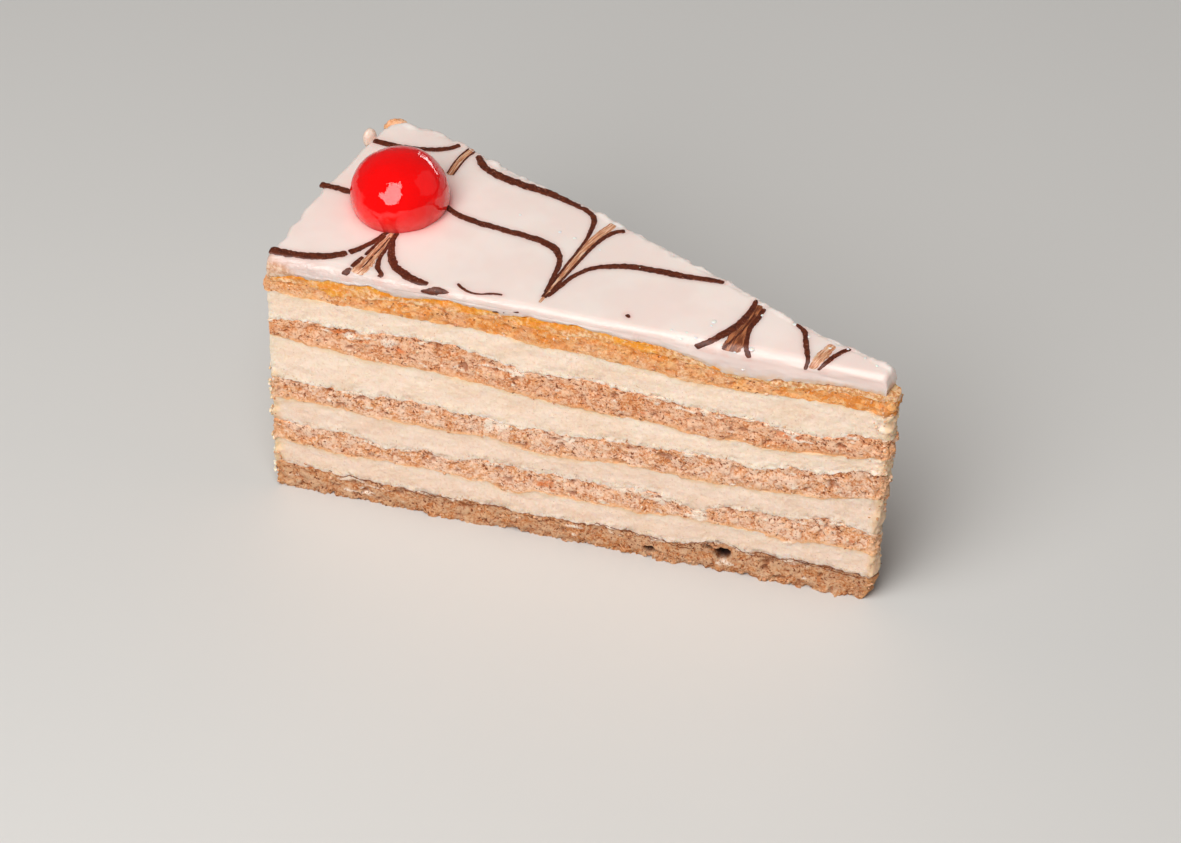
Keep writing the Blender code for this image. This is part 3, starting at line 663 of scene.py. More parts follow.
def jam_look():
    look = Look("apricot_jam", Roughness=0.34, IOR=1.4, Specular_IOR_Level=0.3, Subsurface_Weight=0.3,
                Subsurface_Scale=0.001, Subsurface_Radius=(1.0, 0.4, 0.08), Coat_Weight=0.15,
                Coat_Roughness=0.12)
    grain = look.noise(0.7, 3, 0.65)
    look.coat = look.mix(look.noise(3.0, 3).ramp(0.40, 0.60), (0.86, 0.27, 0.007), (0.85, 0.34, 0.025))
    look.paint(grain.ramp(0.53, 0.66, 0.0, 0.8), (0.93, 0.58, 0.30))
    look.paint(grain.ramp(0.45, 0.32, 0.0, 0.7), (0.66, 0.19, 0.01))
    crumbs = look.mix(grain.ramp(0.38, 0.60), (0.62, 0.25, 0.07), (0.90, 0.60, 0.36))
    look.paint(look.attribute("crumby"), crumbs)
    return look.finish((look.noise(0.8, 3, 0.65), 0.22), (look.noise(0.35, 2), 0.06))


def icing_look():
    look = Look("white_icing", Roughness=0.3, IOR=1.46, Subsurface_Weight=0.5, Subsurface_Scale=0.003,
                Subsurface_Radius=(1.0, 0.6, 0.5))
    look.coat = look.mix(look.noise(9.0, 2).ramp(0.35, 0.65), (0.92, 0.78, 0.72), (0.89, 0.73, 0.67))
    # Painted shade: the rounded near edge and the front are coloured darker, against the stronger light that
    # falls on them
    look.paint(look.attribute("front"), (0.66, 0.52, 0.48))
    look.paint(look.attribute("thin") * look.noise(1.5, 3).ramp(0.3, 0.6), (0.80, 0.46, 0.26))
    blotchy = look.mix(look.noise(0.9, 3, 0.65).ramp(0.40, 0.62), (0.60, 0.28, 0.13), (0.84, 0.58, 0.42))
    look.paint(look.attribute("corner"), blotchy)
    look.paint(look.attribute("halo"), (0.80, 0.50, 0.44))
    # Painted light: red light from the cherry, painted on the icing round it
    look.paint(look.attribute("painted_cherry_bounce"), (0.94, 0.30, 0.28))
    dull = look.attribute("dull")
    wet = dull.ramp(-1.0, 0.0, 1.0, 0.0)
    look.rough(dull.ramp(0.0, 1.0, 0.28, 0.6) - wet * 0.17)
    ripples = look.noise(1.5, 3, 0.6, stretch=(1.0, 1.0, 1.6)) * wet
    return look.finish((look.noise(5.0, 2), 0.03), (look.noise(0.6, 2), 0.006), (ripples, 0.35))


def syrup_look():
    look = Look("syrup_drops", Roughness=0.05, IOR=1.45, Subsurface_Weight=0.4, Subsurface_Scale=0.001)
    # The drops are near white, paler than the icing: partly painted highlight, for the glints they make
    look.coat = look.mix(look.noise(2.0, 2), (0.95, 0.87, 0.83), (0.92, 0.82, 0.77))
    return look.finish((look.noise(0.5, 2), 0.02))


def chocolate_look():
    look = Look("dark_chocolate", Roughness=0.42, IOR=1.4)
    look.coat = look.mix(look.noise(0.8, 3).ramp(0.35, 0.7), (0.125, 0.024, 0.008), (0.060, 0.011, 0.005))
    specks = look.noise(0.28, 2, 0.6) + look.attribute("edge") * 0.10
    look.paint(specks.ramp(0.62, 0.70, 0.0, 0.6), (0.50, 0.22, 0.15))
    return look.finish((look.noise(0.35, 3, 0.6), 0.05))


def streak_look():
    look = Look("milky_chocolate", Roughness=0.36, Subsurface_Weight=0.2, Subsurface_Scale=0.001)
    place = look.add("CombineXYZ", "Vector", {"X": look.attribute("across"), "Y": look.attribute("along")})
    inputs = {"Vector": place, "Scale": 1.0, "Detail": 3.0}
    fine = look.add("TexNoise", "Fac", inputs, noise_dimensions="2D")
    look.coat = look.mix(fine.ramp(0.40, 0.60), (0.46, 0.17, 0.08), (0.76, 0.42, 0.25))
    look.paint(fine.ramp(0.60, 0.72), (0.84, 0.60, 0.48))
    brown = look.mix(fine.ramp(0.42, 0.62), (0.16, 0.040, 0.015), (0.46, 0.16, 0.065))
    look.paint(look.attribute("deep"), brown)
    return look.finish((fine, 0.06))


def cherry_look():
    look = Look("candied_cherry", Roughness=0.035, IOR=1.5, Specular_IOR_Level=0.42,
                Subsurface_Weight=0.8, Subsurface_Scale=0.004, Subsurface_Radius=(1.0, 0.02, 0.02),
                Coat_Weight=0.4, Coat_Roughness=0.015)
    reds = (0.93, 0.0003, 0.0008), (0.84, 0.0002, 0.0005)
    look.coat = look.mix(look.noise(6.0, 2).ramp(0.35, 0.65), *reds)
    # Painted light: a paler red band low on the left, for light from the icing that it reflects and that
    # shines through it
    look.paint(look.attribute("base") * look.noise(2.2, 3, 0.6).ramp(0.34, 0.60), (0.96, 0.10, 0.09))
    return look.finish((look.noise(2.2, 2, 0.5), 0.08), (look.noise(0.9, 1, 0.5), 0.035))


def bits_look(name, tones, shades, flecks, bump, **sockets):
    """Chips between two tones, from the lowest shade to the one given, with further (from, to, colour)
    for other shades, flecks as (size, most, colour) and a bump as (size, detail, depth)."""
    look = Look(name, **sockets)
    shade = look.attribute("shade")
    low, high, pale, dark = tones
    look.coat = look.mix(shade.ramp(low, high), pale, dark)
    for low, high, colour in shades:
        look.paint(shade.ramp(low, high), colour)
    size, most, colour = flecks
    look.paint(look.noise(size, 2).ramp(0.5, 0.7, 0.0, most), colour)
    size, detail, depth = bump
    return look.finish((look.noise(size, detail), depth))


def nut_look():
    # The lowest shades give the pale tone of the corner nuts, partly painted light
    shades = ((0.84, 0.88, (0.24, 0.09, 0.045)), (-0.2, -1.0, (0.96, 0.84, 0.68)))
    return bits_look("chopped_nuts", (0.0, 0.6, (0.84, 0.60, 0.38), (0.66, 0.36, 0.17)), shades,
                     (0.8, 0.4, (0.86, 0.68, 0.48)), (0.4, 3, 0.05), Roughness=0.6,
                     Subsurface_Weight=0.2, Subsurface_Scale=0.001)


def crumb_look():
    return bits_look("loose_crumbs", (0.0, 0.45, (0.86, 0.60, 0.42), (0.70, 0.38, 0.20)),
                     ((0.6, 0.9, (0.50, 0.21, 0.09)),), (0.3, 0.5, (0.84, 0.58, 0.40)), (0.2, 2, 0.03),
                     Roughness=0.65, Subsurface_Weight=0.25, Subsurface_Scale=0.0006)


def skin_look():
    return bits_look("nut_skins", (0.2, 0.9, (0.19, 0.055, 0.018), (0.52, 0.19, 0.065)), (),
                     (0.2, 0.4, (0.45, 0.2, 0.12)), (0.15, 2, 0.02), Roughness=0.8,
                     Specular_IOR_Level=0.1)


# Layers

def sponge_relief(points, seed):
    """Relief of broken crumb: how far it stands out, how deep each point lies in a pore and in a
    crevice between crumbs, and the tone of its crumb, each from 0 to 1."""
    bent = points + 0.45 * np.stack([layered_noise(points, 1.5, seed + n, 2) for n in (1, 2, 3)], axis=-1)
    large, tone = grains(bent, 1.7, seed + 90)
    small, small_tone = grains(bent, 0.85, seed + 130)
    pore = smooth_step(0.55, 1.05, layered_noise(points, (1.9, 1.9, 1.3), seed + 170, 3, 0.6))
    crevice = np.maximum(smooth_step(0.48, 0.80, large), 0.6 * smooth_step(0.50, 0.80, small))
    relief = 0.12 + 0.22 * layered_noise(points, 3.8, seed) - 0.24 * large**2 - 0.16 * small**2 - 0.45 * pore
    return relief, pore, crevice, 0.6 * tone + 0.4 * small_tone


def marks(s, z, places):
    """Strongest of the soft elliptical marks at each point of the near cut, from 0 to 1."""
    strongest = np.zeros(np.shape(s))
    for along, height, half_length, half_height in places:
        distance = np.hypot((s - along) / half_length, (z - height) / half_height)
        strongest = np.maximum(strongest, smooth_step(1.35, 0.55, distance))
    return strongest


def ends_relief(points, s, t, seed, depth, size):
    """Relief of the blunt point, depth deep, and of the cut faces' corners with the rim, where nuts
    and crumbs are stuck on below."""
    blunt = at_point(s) * depth * layered_noise(points, size, seed + 190)
    stuck = 0.35 + 0.65 * smooth_step(COAT_NUT_TOP + 2, COAT_NUT_TOP, points[..., 2])
    corner = smooth_step(1.4, 0.3, s) * (np.abs(t) > 0.98) * stuck
    return blunt, corner * 0.42 * layered_noise(points, 1.3, seed + 200)


def at_point(s):
    """Where the surface belongs to the blunt point."""
    return smooth_step(*POINT_REACH, s)


def at_corner(s, t, z, reach):
    """Where crumbs wrap round the near cut's corner with the rim."""
    return smooth_step(reach, 0.3, s) * (t < -0.98) * (z < COAT_NUT_TOP + 1)


def golden_ends(s, t, z, soft, corner, point):
    """How golden the cut is at its corner with the rim and at the crusty blunt point, each at most as
    given."""
    beside_nuts = smooth_step(COAT_NUT_TOP + 3, COAT_NUT_TOP - 2, z)
    wrapped = smooth_step(2.4 + soft, 0.2, s) * (t < -0.98) * beside_nuts
    crusty = smooth_step(-1.4 + 0.8 * soft, -0.3, s - point_end(z))
    return np.maximum(corner * wrapped, point * crusty)


def find_rim(sizes, shape):
    """True for the points of a grid that lie on the rim."""
    return np.broadcast_to(np.arange(shape[1]) >= shape[1] - sizes[2], shape)


def build_sponge(name, seed, look, faces):
    top, lowest = name == "sponge_5", name == "sponge_1"
    start, inset = (TOP_SPONGE_RIM_START, 0.0) if top else (RIM_START, RIM_INSET)
    sides, s, t, up, directions, height, below_top, sizes = layer_grid(name, start, rim_inset=inset)
    z = sides[..., 2]
    relief, pore, crevice, tone = sponge_relief(sides, seed)
    on_rim = find_rim(sizes, s.shape)
    if not top:
        relief = np.where(on_rim, np.minimum(relief, 0) * 0.5, relief)
    blunt, corner = ends_relief(sides, s, t, seed, 0.55, 1.1)
    relief = relief + blunt + corner
    near = t < -0.999
    wobble = 0.45 * layered_noise(sides, 1.2, seed + 210)
    smear = near * marks(s + wobble, z + wobble, CREAM_SMEARS)
    patchy = layered_noise(sides, (2.6, 2.6, 1.0), seed + 250)
    smear = np.maximum(smear, smooth_step(0.62, 0.95, patchy + 0.5 * smooth_step(1.6, 0.2, below_top) - 0.12))
    smear = smear * (1 - 0.8 * top) * smooth_step(0.8, 2.2, z)
    cavity = near * marks(s + 0.5 * wobble, z + 0.4 * wobble, CAVITIES)
    relief = relief + 0.12 * smear - CAVITY_DEPTH * cavity
    skin = soak = np.zeros(s.shape)
    if lowest:
        broken = layered_noise(sides * (1, 1, 0.2), 4.0, seed + 300)
        thick = 0.30 + 0.16 * layered_noise(sides * (1, 1, 0.2), 1.5, seed + 310)
        skin = 0.55 * smooth_step(thick, 0.05, below_top) * smooth_step(-0.3, 0.25, broken + 0.008 * (s - 60))
        # The dark rim round each cavity is painted shade
        skin = np.maximum(skin, smooth_step(0.1, 0.5, cavity))
        broken_off = layered_noise(sides, 0.9, seed + 340)
        notches = layered_noise(sides * (1, 1, 0.3), 2.2, seed + 345)
        foot = 0.45 * notches + 0.3 * broken_off - 0.7 * smooth_step(0.0, 0.6, broken_off)
        relief = relief + smooth_step(1.7, 0.1, z) * foot
    if top:
        patchy = layered_noise(sides, 5.0, seed + 400)
        soak = np.clip(0.5 + 0.3 * up + 0.5 * patchy + 0.35 * smooth_step(74, 92, s), 0.1, 0.95)
        smear = smear * 0.4
    soft = 0.8 * layered_noise(sides, (3.0, 3.0, 1.0), seed + 450)
    low = 0.8 * smooth_step(np.maximum(1.0 + soft, 0.1), -0.1, height) * (not lowest)
    attributes = {
        # Painted shade in the pores
        "pore_shade": 0.7 * pore,
        # Mask for painted shade in the crevices between crumbs
        "crevice": 0.75 * crevice,
        "tone": tone,
        "soak": soak,
        "smear": smear,
        "skin": skin,
        "hollow_shade": smooth_step(0.45, 0.8, cavity),
        "stain": 0.85 * near * marks(s + wobble, z + 0.6 * wobble, STAINS),
        "low": np.maximum(low, golden_ends(s, t, z, soft, 0.5, 0.5)),
        "upper": smooth_step(2.2, 0.3, below_top) * (1 - top),
    }
    bare = ~on_rim * (1.0 - smear) * (1 - cavity) * (0.6 if top else 1.0)
    at_base = smooth_step(1.2, 0.2, z) * smooth_step(0.0, 0.1, z)
    crumbs = bare * (1 + 3 * at_point(s) + 6 * at_base + 8 * at_corner(s, t, z, 1.8))
    slivers = bare * (0.25 + smooth_step(2.4, 0.2, below_top))
    points = sides + directions * relief[..., None]
    faces.append((points, directions, crumbs, slivers))
    obj = layer_object(name + "_crumb", points, sizes, look, attributes.items())
    return place_piece(obj, "sponge", name)


def build_cream(name, seed, look, faces):
    sides, s, t, _, directions, height, below_top, sizes = layer_grid(name, RIM_START, rim_inset=RIM_INSET)
    z = sides[..., 2]
    drawn = layered_noise(sides, (7.0, 7.0, 2.4), seed)
    fine = layered_noise(sides, 1.7, seed + 40)
    lumpy = layered_noise(sides, 0.9, seed + 80)
    torn = smooth_step(1.6, 0.1, height)
    relief = -0.02 + 0.09 * drawn + 0.08 * fine + (0.07 + 0.2 * torn) * lumpy
    blunt, corner = ends_relief(sides, s, t, seed, 0.42, 1.0)
    on_rim = find_rim(sizes, s.shape)
    relief = np.where(on_rim, 0.0, relief + blunt + corner)
    points = sides + directions * relief[..., None]
    soft = 0.8 * layered_noise(sides, (3.0, 3.0, 1.0), seed + 120)
    edge = 0.75 * smooth_step(np.maximum(0.75 + soft, 0.0), -0.15, below_top)
    edge = np.maximum(edge, golden_ends(s, t, z, soft, 0.75, 0.7))
    crumbs = ~on_rim * (0.15 * torn + 2.0 * at_point(s) + 5 * at_corner(s, t, z, 1.4))
    faces.append((points, directions, crumbs, ~on_rim * 0.08 * torn))
    obj = layer_object(name + "_cut", points, sizes, look, [("edge", edge), ("torn", torn)])
    return place_piece(obj, "cream", name)


def build_jam(look):
    sides, s, _, up, directions, _, _, sizes = layer_grid("apricot_jam", JAM_RIM_START, CORNER_TRIM)
    relief = 0.22 * layered_noise(sides, 2.2, 900) + 0.12 * layered_noise(sides, 0.9, 901) + 0.06
    points = sides + directions * relief[..., None]
    patchy = layered_noise(sides, 3.0, 902)
    crumby = np.maximum(smooth_step(0.8, 0.2, up + 0.4 * patchy), smooth_step(0.1, 0.5, patchy))
    pools = np.max([np.exp(-(((s - centre) / half) ** 2)) for centre, half in JAM_POOLS], axis=0)
    crumby = np.maximum(crumby * (1 - 0.9 * pools), smooth_step(78, 92, s))
    obj = layer_object("jam_layer", points, sizes, look, [("crumby", crumby)])
    return place_piece(obj, "jam", "apricot_jam")


# Icing

def rounding(distance, radius):
    """Drop of a surface that ends in a quarter circle at distance 0."""
    inside = np.clip(radius - distance, 0, radius)
    return radius - np.sqrt(radius**2 - inside**2)


def near_radius(s):
    return np.interp(s, *zip(*NEAR_EDGE_RADIUS))


def icing_top(s, t):
    """Height of the icing, rounded off at its edges."""
    radius = CAKE_RADIUS - s
    near, far = (1 + t) * HALF_ANGLE * radius, (1 - t) * HALF_ANGLE * radius
    drop = rounding(near, near_radius(s)) + rounding(far, PLAIN_EDGE_RADIUS)
    drop += rounding(s - ICING_RIM_START, PLAIN_EDGE_RADIUS) + rounding(ICING_END - s, PLAIN_EDGE_RADIUS)
    return ICING_TOP - np.minimum(drop, 2.6)


def edge_wave(points):
    """How far the icing's edge swells outward, drawn out along the edge."""
    return 0.13 * layered_noise(points, (5.0, 5.0, 0.8), 760, 2)


def icing_wave(points):
    """Slow unevenness of the icing, which fades out where it is rounded off."""
    level = points * (1, 1, 0)
    wave = 0.06 * soft_noise(level, 11.0, 700) + 0.03 * soft_noise(level, 4.0, 701)
    return wave * np.exp(points[..., 2] - ICING_TOP)


def smooth_path(places, step=0.16):
    """Points every step millimetres along a smooth curve through the places, each with its width."""
    p = np.array(places, float)
    p = np.vstack([2 * p[0] - p[1], p, 2 * p[-1] - p[-2]])
    pieces = []
    for a, b, c, d in zip(p, p[1:], p[2:], p[3:]):
        count = max(2, int(np.hypot(*(c - b)[:2]) / step))
        f = np.linspace(0, 1, count, endpoint=False)[:, None]
        curve = 2 * b + (c - a) * f + (2 * a - 5 * b + 4 * c - d) * f**2 + (3 * b - a - 3 * c + d) * f**3
        pieces.append(curve / 2)
    return np.vstack(pieces + [p[-2:-1]])


def flat_place(u, y):
    """Point at the icing's level, in millimetres."""
    return np.stack([APEX[0] - CAKE_RADIUS + u, APEX[1] + y, np.full(np.shape(u), ICING_TOP)], axis=-1)


def on_icing(u, y, back):
    """Points on the icing, and its outward directions, where a mark shows that the photograph puts at
    u, y on the icing's level. Over the rounded edge and the front it slides along the line of sight."""
    start = flat_place(u, y)
    inward = np.array((-math.sin(HALF_ANGLE), math.cos(HALF_ANGLE), 0.0))
    apex = np.array((*APEX, 0.0))
    steps = np.arange(0, 9, 0.02)
    sight = -np.asarray(back)
    depth = (start - apex) @ inward
    s = CAKE_RADIUS - np.hypot(start[:, 0] - APEX[0], start[:, 1] - APEX[1])
    radius = near_radius(s)
    inset = depth[:, None] + steps * (sight @ inward)
    height = ICING_TOP + steps * sight[2]
    level = ICING_TOP - rounding(np.clip(inset, 0, None), radius[:, None])
    on_front = (height < ICING_TOP - radius[:, None]) & (inset >= 0)
    reached = (inset >= 0) & (height <= level) | on_front
    first = np.argmax(reached, axis=1)
    place = start + steps[first][:, None] * sight
    lean = np.clip(1 - inset[np.arange(len(first)), first] / radius, 0, 1)
    place[:, 2] += icing_wave(place)
    place -= inward * (smooth_step(0, 1, lean) * edge_wave(place))[:, None]
    normal = -inward * lean[:, None] + np.array((0, 0, 1.0)) * np.sqrt(1 - lean**2)[:, None]
    return place, normal


def line_distance(points, paths):
    """Distance from points (n, 2) to the nearest edge of the marks that follow the paths."""
    nearest = np.full(len(points), 99.0)
    for path in paths:
        for u, y, width in path[::2]:
            x = APEX[0] - CAKE_RADIUS + u
            distance = np.hypot(points[:, 0] - x, points[:, 1] - APEX[1] - y) - width / 2
            nearest = np.minimum(nearest, distance)
    return nearest


def icing_stations():
    ends = np.array((0, 0.03, 0.1, 0.2, 0.34, 0.52, 0.75, 1.0, 1.3))
    length = ICING_END - ICING_RIM_START
    middle = np.arange(1.6, length - 1.6, 0.3)
    return np.concatenate([ends, middle, length - ends[::-1]]) / length


def icing_sheet():
    """Grid over the icing's top: its points, their s and t, and how far they lean over the near edge."""
    share = icing_stations()[:, None]
    ts = -np.cos(np.linspace(0, np.pi, ICING_COLUMNS))
    ragged = 0.5 * line_noise(20 * ts, 2.4, 710) + 0.35 * line_noise(20 * ts, 0.9, 711)
    start = ICING_RIM_START + CORNER_TRIM * np.clip(4 * ts - 3, 0, None) ** 2 + np.clip(ragged, -0.3, None)
    s = start + share * (ICING_END - start)
    t = np.broadcast_to(ts, s.shape)
    even_s = ICING_RIM_START + share * (ICING_END - ICING_RIM_START)
    top = on_slice(s, t, icing_top(np.broadcast_to(even_s, s.shape), t))
    top[..., 2] += icing_wave(top)
    radius = CAKE_RADIUS - s
    near_lean = smooth_step(near_radius(s), 0, (1 + t) * HALF_ANGLE * radius)
    top[..., 0] += near_lean * edge_wave(top) * math.sin(HALF_ANGLE)
    top[..., 1] -= near_lean * edge_wave(top) * math.cos(HALF_ANGLE)
    far_lean = smooth_step(1.6, 0, (1 - t) * HALF_ANGLE * radius)
    bumpy = 0.34 * layered_noise(top * (1, 1, 0), 2.0, 765)
    top[..., 1] -= CORNER_PULL * smooth_step(8.0, 3.5, s) * smooth_step(0.7, 1.0, t)
    top[..., 1] += far_lean * bumpy
    top[..., 2] += 0.7 * far_lean * bumpy * (1 - far_lean) * 4
    return top, s, t, near_lean


def icing_wall(edge, s, t, directions):
    """Rows of points from below the icing's edge to the jam, and how far down each is, from 0 to 1."""
    down = np.linspace(0, 1, ICING_WALL_ROWS)[1:, None]
    wall = np.repeat(edge[None], ICING_WALL_ROWS - 1, axis=0)
    wall[..., 2] = edge[:, 2] * (1 - down) + layer_top("apricot_jam", s, t) * down
    lumps = 0.10 * layered_noise(wall, (3.0, 3.0, 1.6), 720)
    lumps += edge_wave(wall) + 0.05 * layered_noise(wall, 0.9, 721)
    lumps = lumps * smooth_step(0, 0.4, down) * (1 - 0.6 * smooth_step(0.6, 1, down))
    bulge = ICING_BULGE * np.sin(np.pi * np.minimum(down * 1.15, 1)) + lumps
    return wall + directions * bulge[..., None], np.broadcast_to(down, bulge.shape)


def build_icing(look, paths):
    top, s, t, near_lean = icing_sheet()
    index = np.arange(s.size).reshape(s.shape)
    border = np.concatenate([index[:, 0], index[-1, 1:-1], index[::-1, -1], index[0, -2:0:-1]])
    sizes = (len(s), ICING_COLUMNS - 2, ICING_COLUMNS - 2)
    edge, ring_s, ring_t = top.reshape(-1, 3)[border], s.ravel()[border], t.ravel()[border]
    wall, down = icing_wall(edge, ring_s, ring_t, ring_directions(ring_t, sizes))
    vertices = np.concatenate([top.reshape(-1, 3), wall.reshape(-1, 3)])
    ring_index = np.vstack([border, s.size + np.arange(down.size).reshape(down.shape)])
    faces = grid_faces(index) + grid_faces(ring_index, closed=True)
    faces += cap_faces(int(ring_index[-1, 0]), sizes, up=False)
    from_lines = line_distance(vertices[:, :2], paths)
    cherry = np.hypot(vertices[:, 0] - APEX[0] + CAKE_RADIUS - CHERRY_CENTRE[0],
                      vertices[:, 1] - APEX[1] - CHERRY_CENTRE[1]) - CHERRY_RADIUS[0]
    on_top = np.arange(len(vertices)) < s.size
    thin = np.concatenate([np.zeros(s.size), smooth_step(0.45, 1.0, down).ravel()])
    from_corner = np.hypot((vertices[:, 0] - edge[0, 0]) / 5.0, (vertices[:, 2] - 48.6) / 2.9)
    from_corner = np.hypot(from_corner, (vertices[:, 1] - edge[0, 1]) / 2.4)
    blotch = layered_noise(vertices, 1.4, 730)
    on_near = np.broadcast_to(ring_t < -0.999, down.shape)
    # front marks the rounded near edge and the front, where painted shade darkens the icing
    front = np.concatenate([near_lean.ravel(), on_near.ravel()])
    along = vertices[:, 0] + 60 + 8 * blotch
    attributes = [
        ("halo", 0.4 * on_top * np.exp(-(np.clip(from_lines, 0, None) / 0.45) ** 2)),
        # Painted red light from the cherry, fading with distance from its base
        ("painted_cherry_bounce", 0.5 * np.exp(-np.clip(cherry, 0, None) / 1.1)),
        ("thin", 0.8 * thin),
        # Painted shade on the near edge and front, strongest towards the rim
        ("front", front * np.interp(vertices[:, 0] + 60, (0, 35, 70), (0.95, 0.7, 0.55))),
        ("dull", front * np.where(on_top, np.interp(along, (4, 66, 84), (-1, -0.35, 0)),
                                  np.interp(along, (4, 28, 62), (-1, -0.5, 1)))),
        ("corner", 0.9 * smooth_step(1.25, 0.6, from_corner + 0.2 * blotch)),
    ]
    obj = make_object("icing_slab", vertices, faces, look, attributes)
    return place_piece(obj, "icing", "icing")


def ribbon_mesh(path, height, seed, back):
    """Rows round a mark that lies on the icing: nine points over its domed top, two underneath."""
    tangent = np.gradient(path[:, :2], axis=0)
    tangent /= np.linalg.norm(tangent, axis=1, keepdims=True)
    side = np.stack([-tangent[:, 1], tangent[:, 0]], axis=1)
    length = np.concatenate([[0], np.cumsum(np.hypot(*np.diff(path[:, :2], axis=0).T))])
    taper = np.minimum(1, 0.7 + np.minimum(length, length[-1] - length) / 0.8)
    across = np.concatenate([np.linspace(-1, 1, 9), (0.9, -0.9)])
    rows = []
    for k in across:
        along = length + 50 * np.sign(k)
        uneven = 1 + 0.16 * line_noise(along, 1.6, seed) + 0.14 * line_noise(along, 0.45, seed + 3)
        half = path[:, 2] / 2 * taper * uneven
        flat = path[:, :2] + side * (k * half)[:, None]
        place, normal = on_icing(flat[:, 0], flat[:, 1], back)
        rows.append((place, normal))
    places = np.stack([place for place, _ in rows], axis=1)
    normals = np.stack([normal for _, normal in rows], axis=1)
    dome = np.sqrt(np.clip(1 - np.abs(across[:9]) ** 6, 0, 1))
    grain = 0.03 * layered_noise(places[:, :9], 0.7, seed + 9)
    lift = np.concatenate([dome * height - 0.05 + grain, np.full((len(path), 2), -0.3)], axis=1)
    return places + normals * lift[..., None], across, length


def build_ribbons(name, paths, height, look, seed, back, deep=()):
    """One piece of all the marks of a kind; deep has a number from 0 to 1 for each mark."""
    vertices, faces, values, offset = [], [], [], 0
    for number, path in enumerate(paths):
        rows, across, length = ribbon_mesh(path, height, seed + 31 * number, back)
        count, ring_size = rows.shape[:2]
        ends = np.arange(ring_size) + offset
        faces += wall_faces(count, ring_size, offset)
        faces += [ends[::-1].tolist(), (ends + (count - 1) * ring_size).tolist()]
        half = path[:, 2][:, None] / 2
        numbers = np.broadcast_arrays(np.abs(across) ** 4, across * half * 4.5 + 7 * number,
                                      length[:, None] * 0.35, deep[number] if deep else 0.0)
        values.append(np.reshape(numbers, (4, -1)))
        vertices.append(rows.reshape(-1, 3))
        offset += count * ring_size
    attributes = zip(("edge", "across", "along", "deep"), np.hstack(values))
    obj = make_object(name, np.vstack(vertices), faces, look, attributes, recalculate=True)
    return place_piece(obj, "icing", "icing")


# Cherry

def build_cherry(look):
    around, rows = CHERRY_GRID
    turn = np.linspace(0, 2 * np.pi, around, endpoint=False)
    side = np.linspace(0, 1, 13)[:-1]
    rise = np.linspace(0, np.pi / 2, rows + 1)[:-1]
    power = 2 / CHERRY_SQUARENESS
    flat = np.concatenate([0.955 + 0.045 * np.sin(side * np.pi / 2), np.cos(rise) ** power])[:, None]
    height = np.concatenate([side * CHERRY_SIDE, CHERRY_SIDE + CHERRY_DOME * np.sin(rise) ** power])[:, None]
    rows = len(flat)
    points = np.stack([flat * np.cos(turn) * CHERRY_RADIUS[0], flat * np.sin(turn) * CHERRY_RADIUS[1],
                       np.broadcast_to(height, (rows, around))], axis=-1).reshape(-1, 3)
    points = np.vstack([points, ((0, 0, CHERRY_SIDE + CHERRY_DOME),)])
    dents = 0.022 * soft_noise(points, 6.5, 800) + 0.012 * layered_noise(points, 2.6, 801)
    height = points[:, 2] / (CHERRY_SIDE + CHERRY_DOME)
    points *= 1 + dents[:, None] * (1, 1, 0.4)
    across = points[:, 0] / CHERRY_RADIUS[0] - 0.2 * points[:, 1] / CHERRY_RADIUS[1]
    leftness = smooth_step(0.4, -0.8, across)
    # Where the painted paler band lies, low on the cherry and strongest on the left
    base = smooth_step(0.34, 0.12, height) * (0.4 + 0.5 * leftness)
    points += flat_place(*CHERRY_CENTRE) + (0, 0, 0.03)
    faces = wall_faces(rows, around)
    last = (rows - 1) * around
    faces += [[last + i, last + (i + 1) % around, rows * around] for i in range(around)]
    faces.append(list(range(around))[::-1])
    obj = make_object("cherry_half", points, faces, look, [("base", base)])
    return place_piece(obj, "cherry", "cherry")


# Lumps, nuts and crumbs

def unit_ball(subdivisions):
    bm = bmesh.new()
    bmesh.ops.create_icosphere(bm, subdivisions=subdivisions, radius=1.0)
    bm.verts.index_update()
    points = np.array([vert.co[:] for vert in bm.verts])
    faces = np.array([[vert.index for vert in face.verts] for face in bm.faces])
    bm.free()
    return points, faces


def repeat_faces(faces, points_each, count):
    return (faces[None] + points_each * np.arange(count)[:, None, None]).reshape(-1, 3).tolist()


def draw_shapes(rng, spans, count):
    """Random lengths along three axes, each within its span."""
    return np.stack([rng.uniform(*span, count) for span in spans], axis=1)


def chips(places, normals, sizes, rng, cuts=6):
    """Joined chips with flat broken sides, each turned at random about its surface's normal. Returns
    points, faces and a shade for each point."""
    ball, faces = unit_ball(2)
    count = len(places)
    shapes = np.repeat(ball[None], count, axis=0)
    for _ in range(cuts):
        plane = rng.normal(size=(count, 1, 3))
        plane /= np.linalg.norm(plane, axis=2, keepdims=True)
        reach = (shapes * plane).sum(axis=2, keepdims=True) - rng.uniform(0.45, 0.8, (count, 1, 1))
        shapes = shapes - plane * np.clip(reach, 0, None)
    level = np.cross((0.0, 0.0, 1.0), normals)
    level = np.where(np.linalg.norm(level, axis=1, keepdims=True) < 1e-3, (1.0, 0.0, 0.0), level)
    level /= np.linalg.norm(level, axis=1, keepdims=True)
    upward = np.cross(normals, level)
    turn = rng.normal(0, 0.6, (count, 1))
    length_axis = np.cos(turn) * level + np.sin(turn) * upward
    width_axis = np.cross(normals, length_axis)
    axes = np.stack([length_axis, width_axis, normals], axis=1)
    points = np.einsum("nvk,nkc->nvc", shapes * sizes[:, None, :], axes) + places[:, None, :]
    shade = np.repeat(rng.random(count), len(ball))
    return points.reshape(-1, 3), repeat_faces(faces, len(ball), count), shade


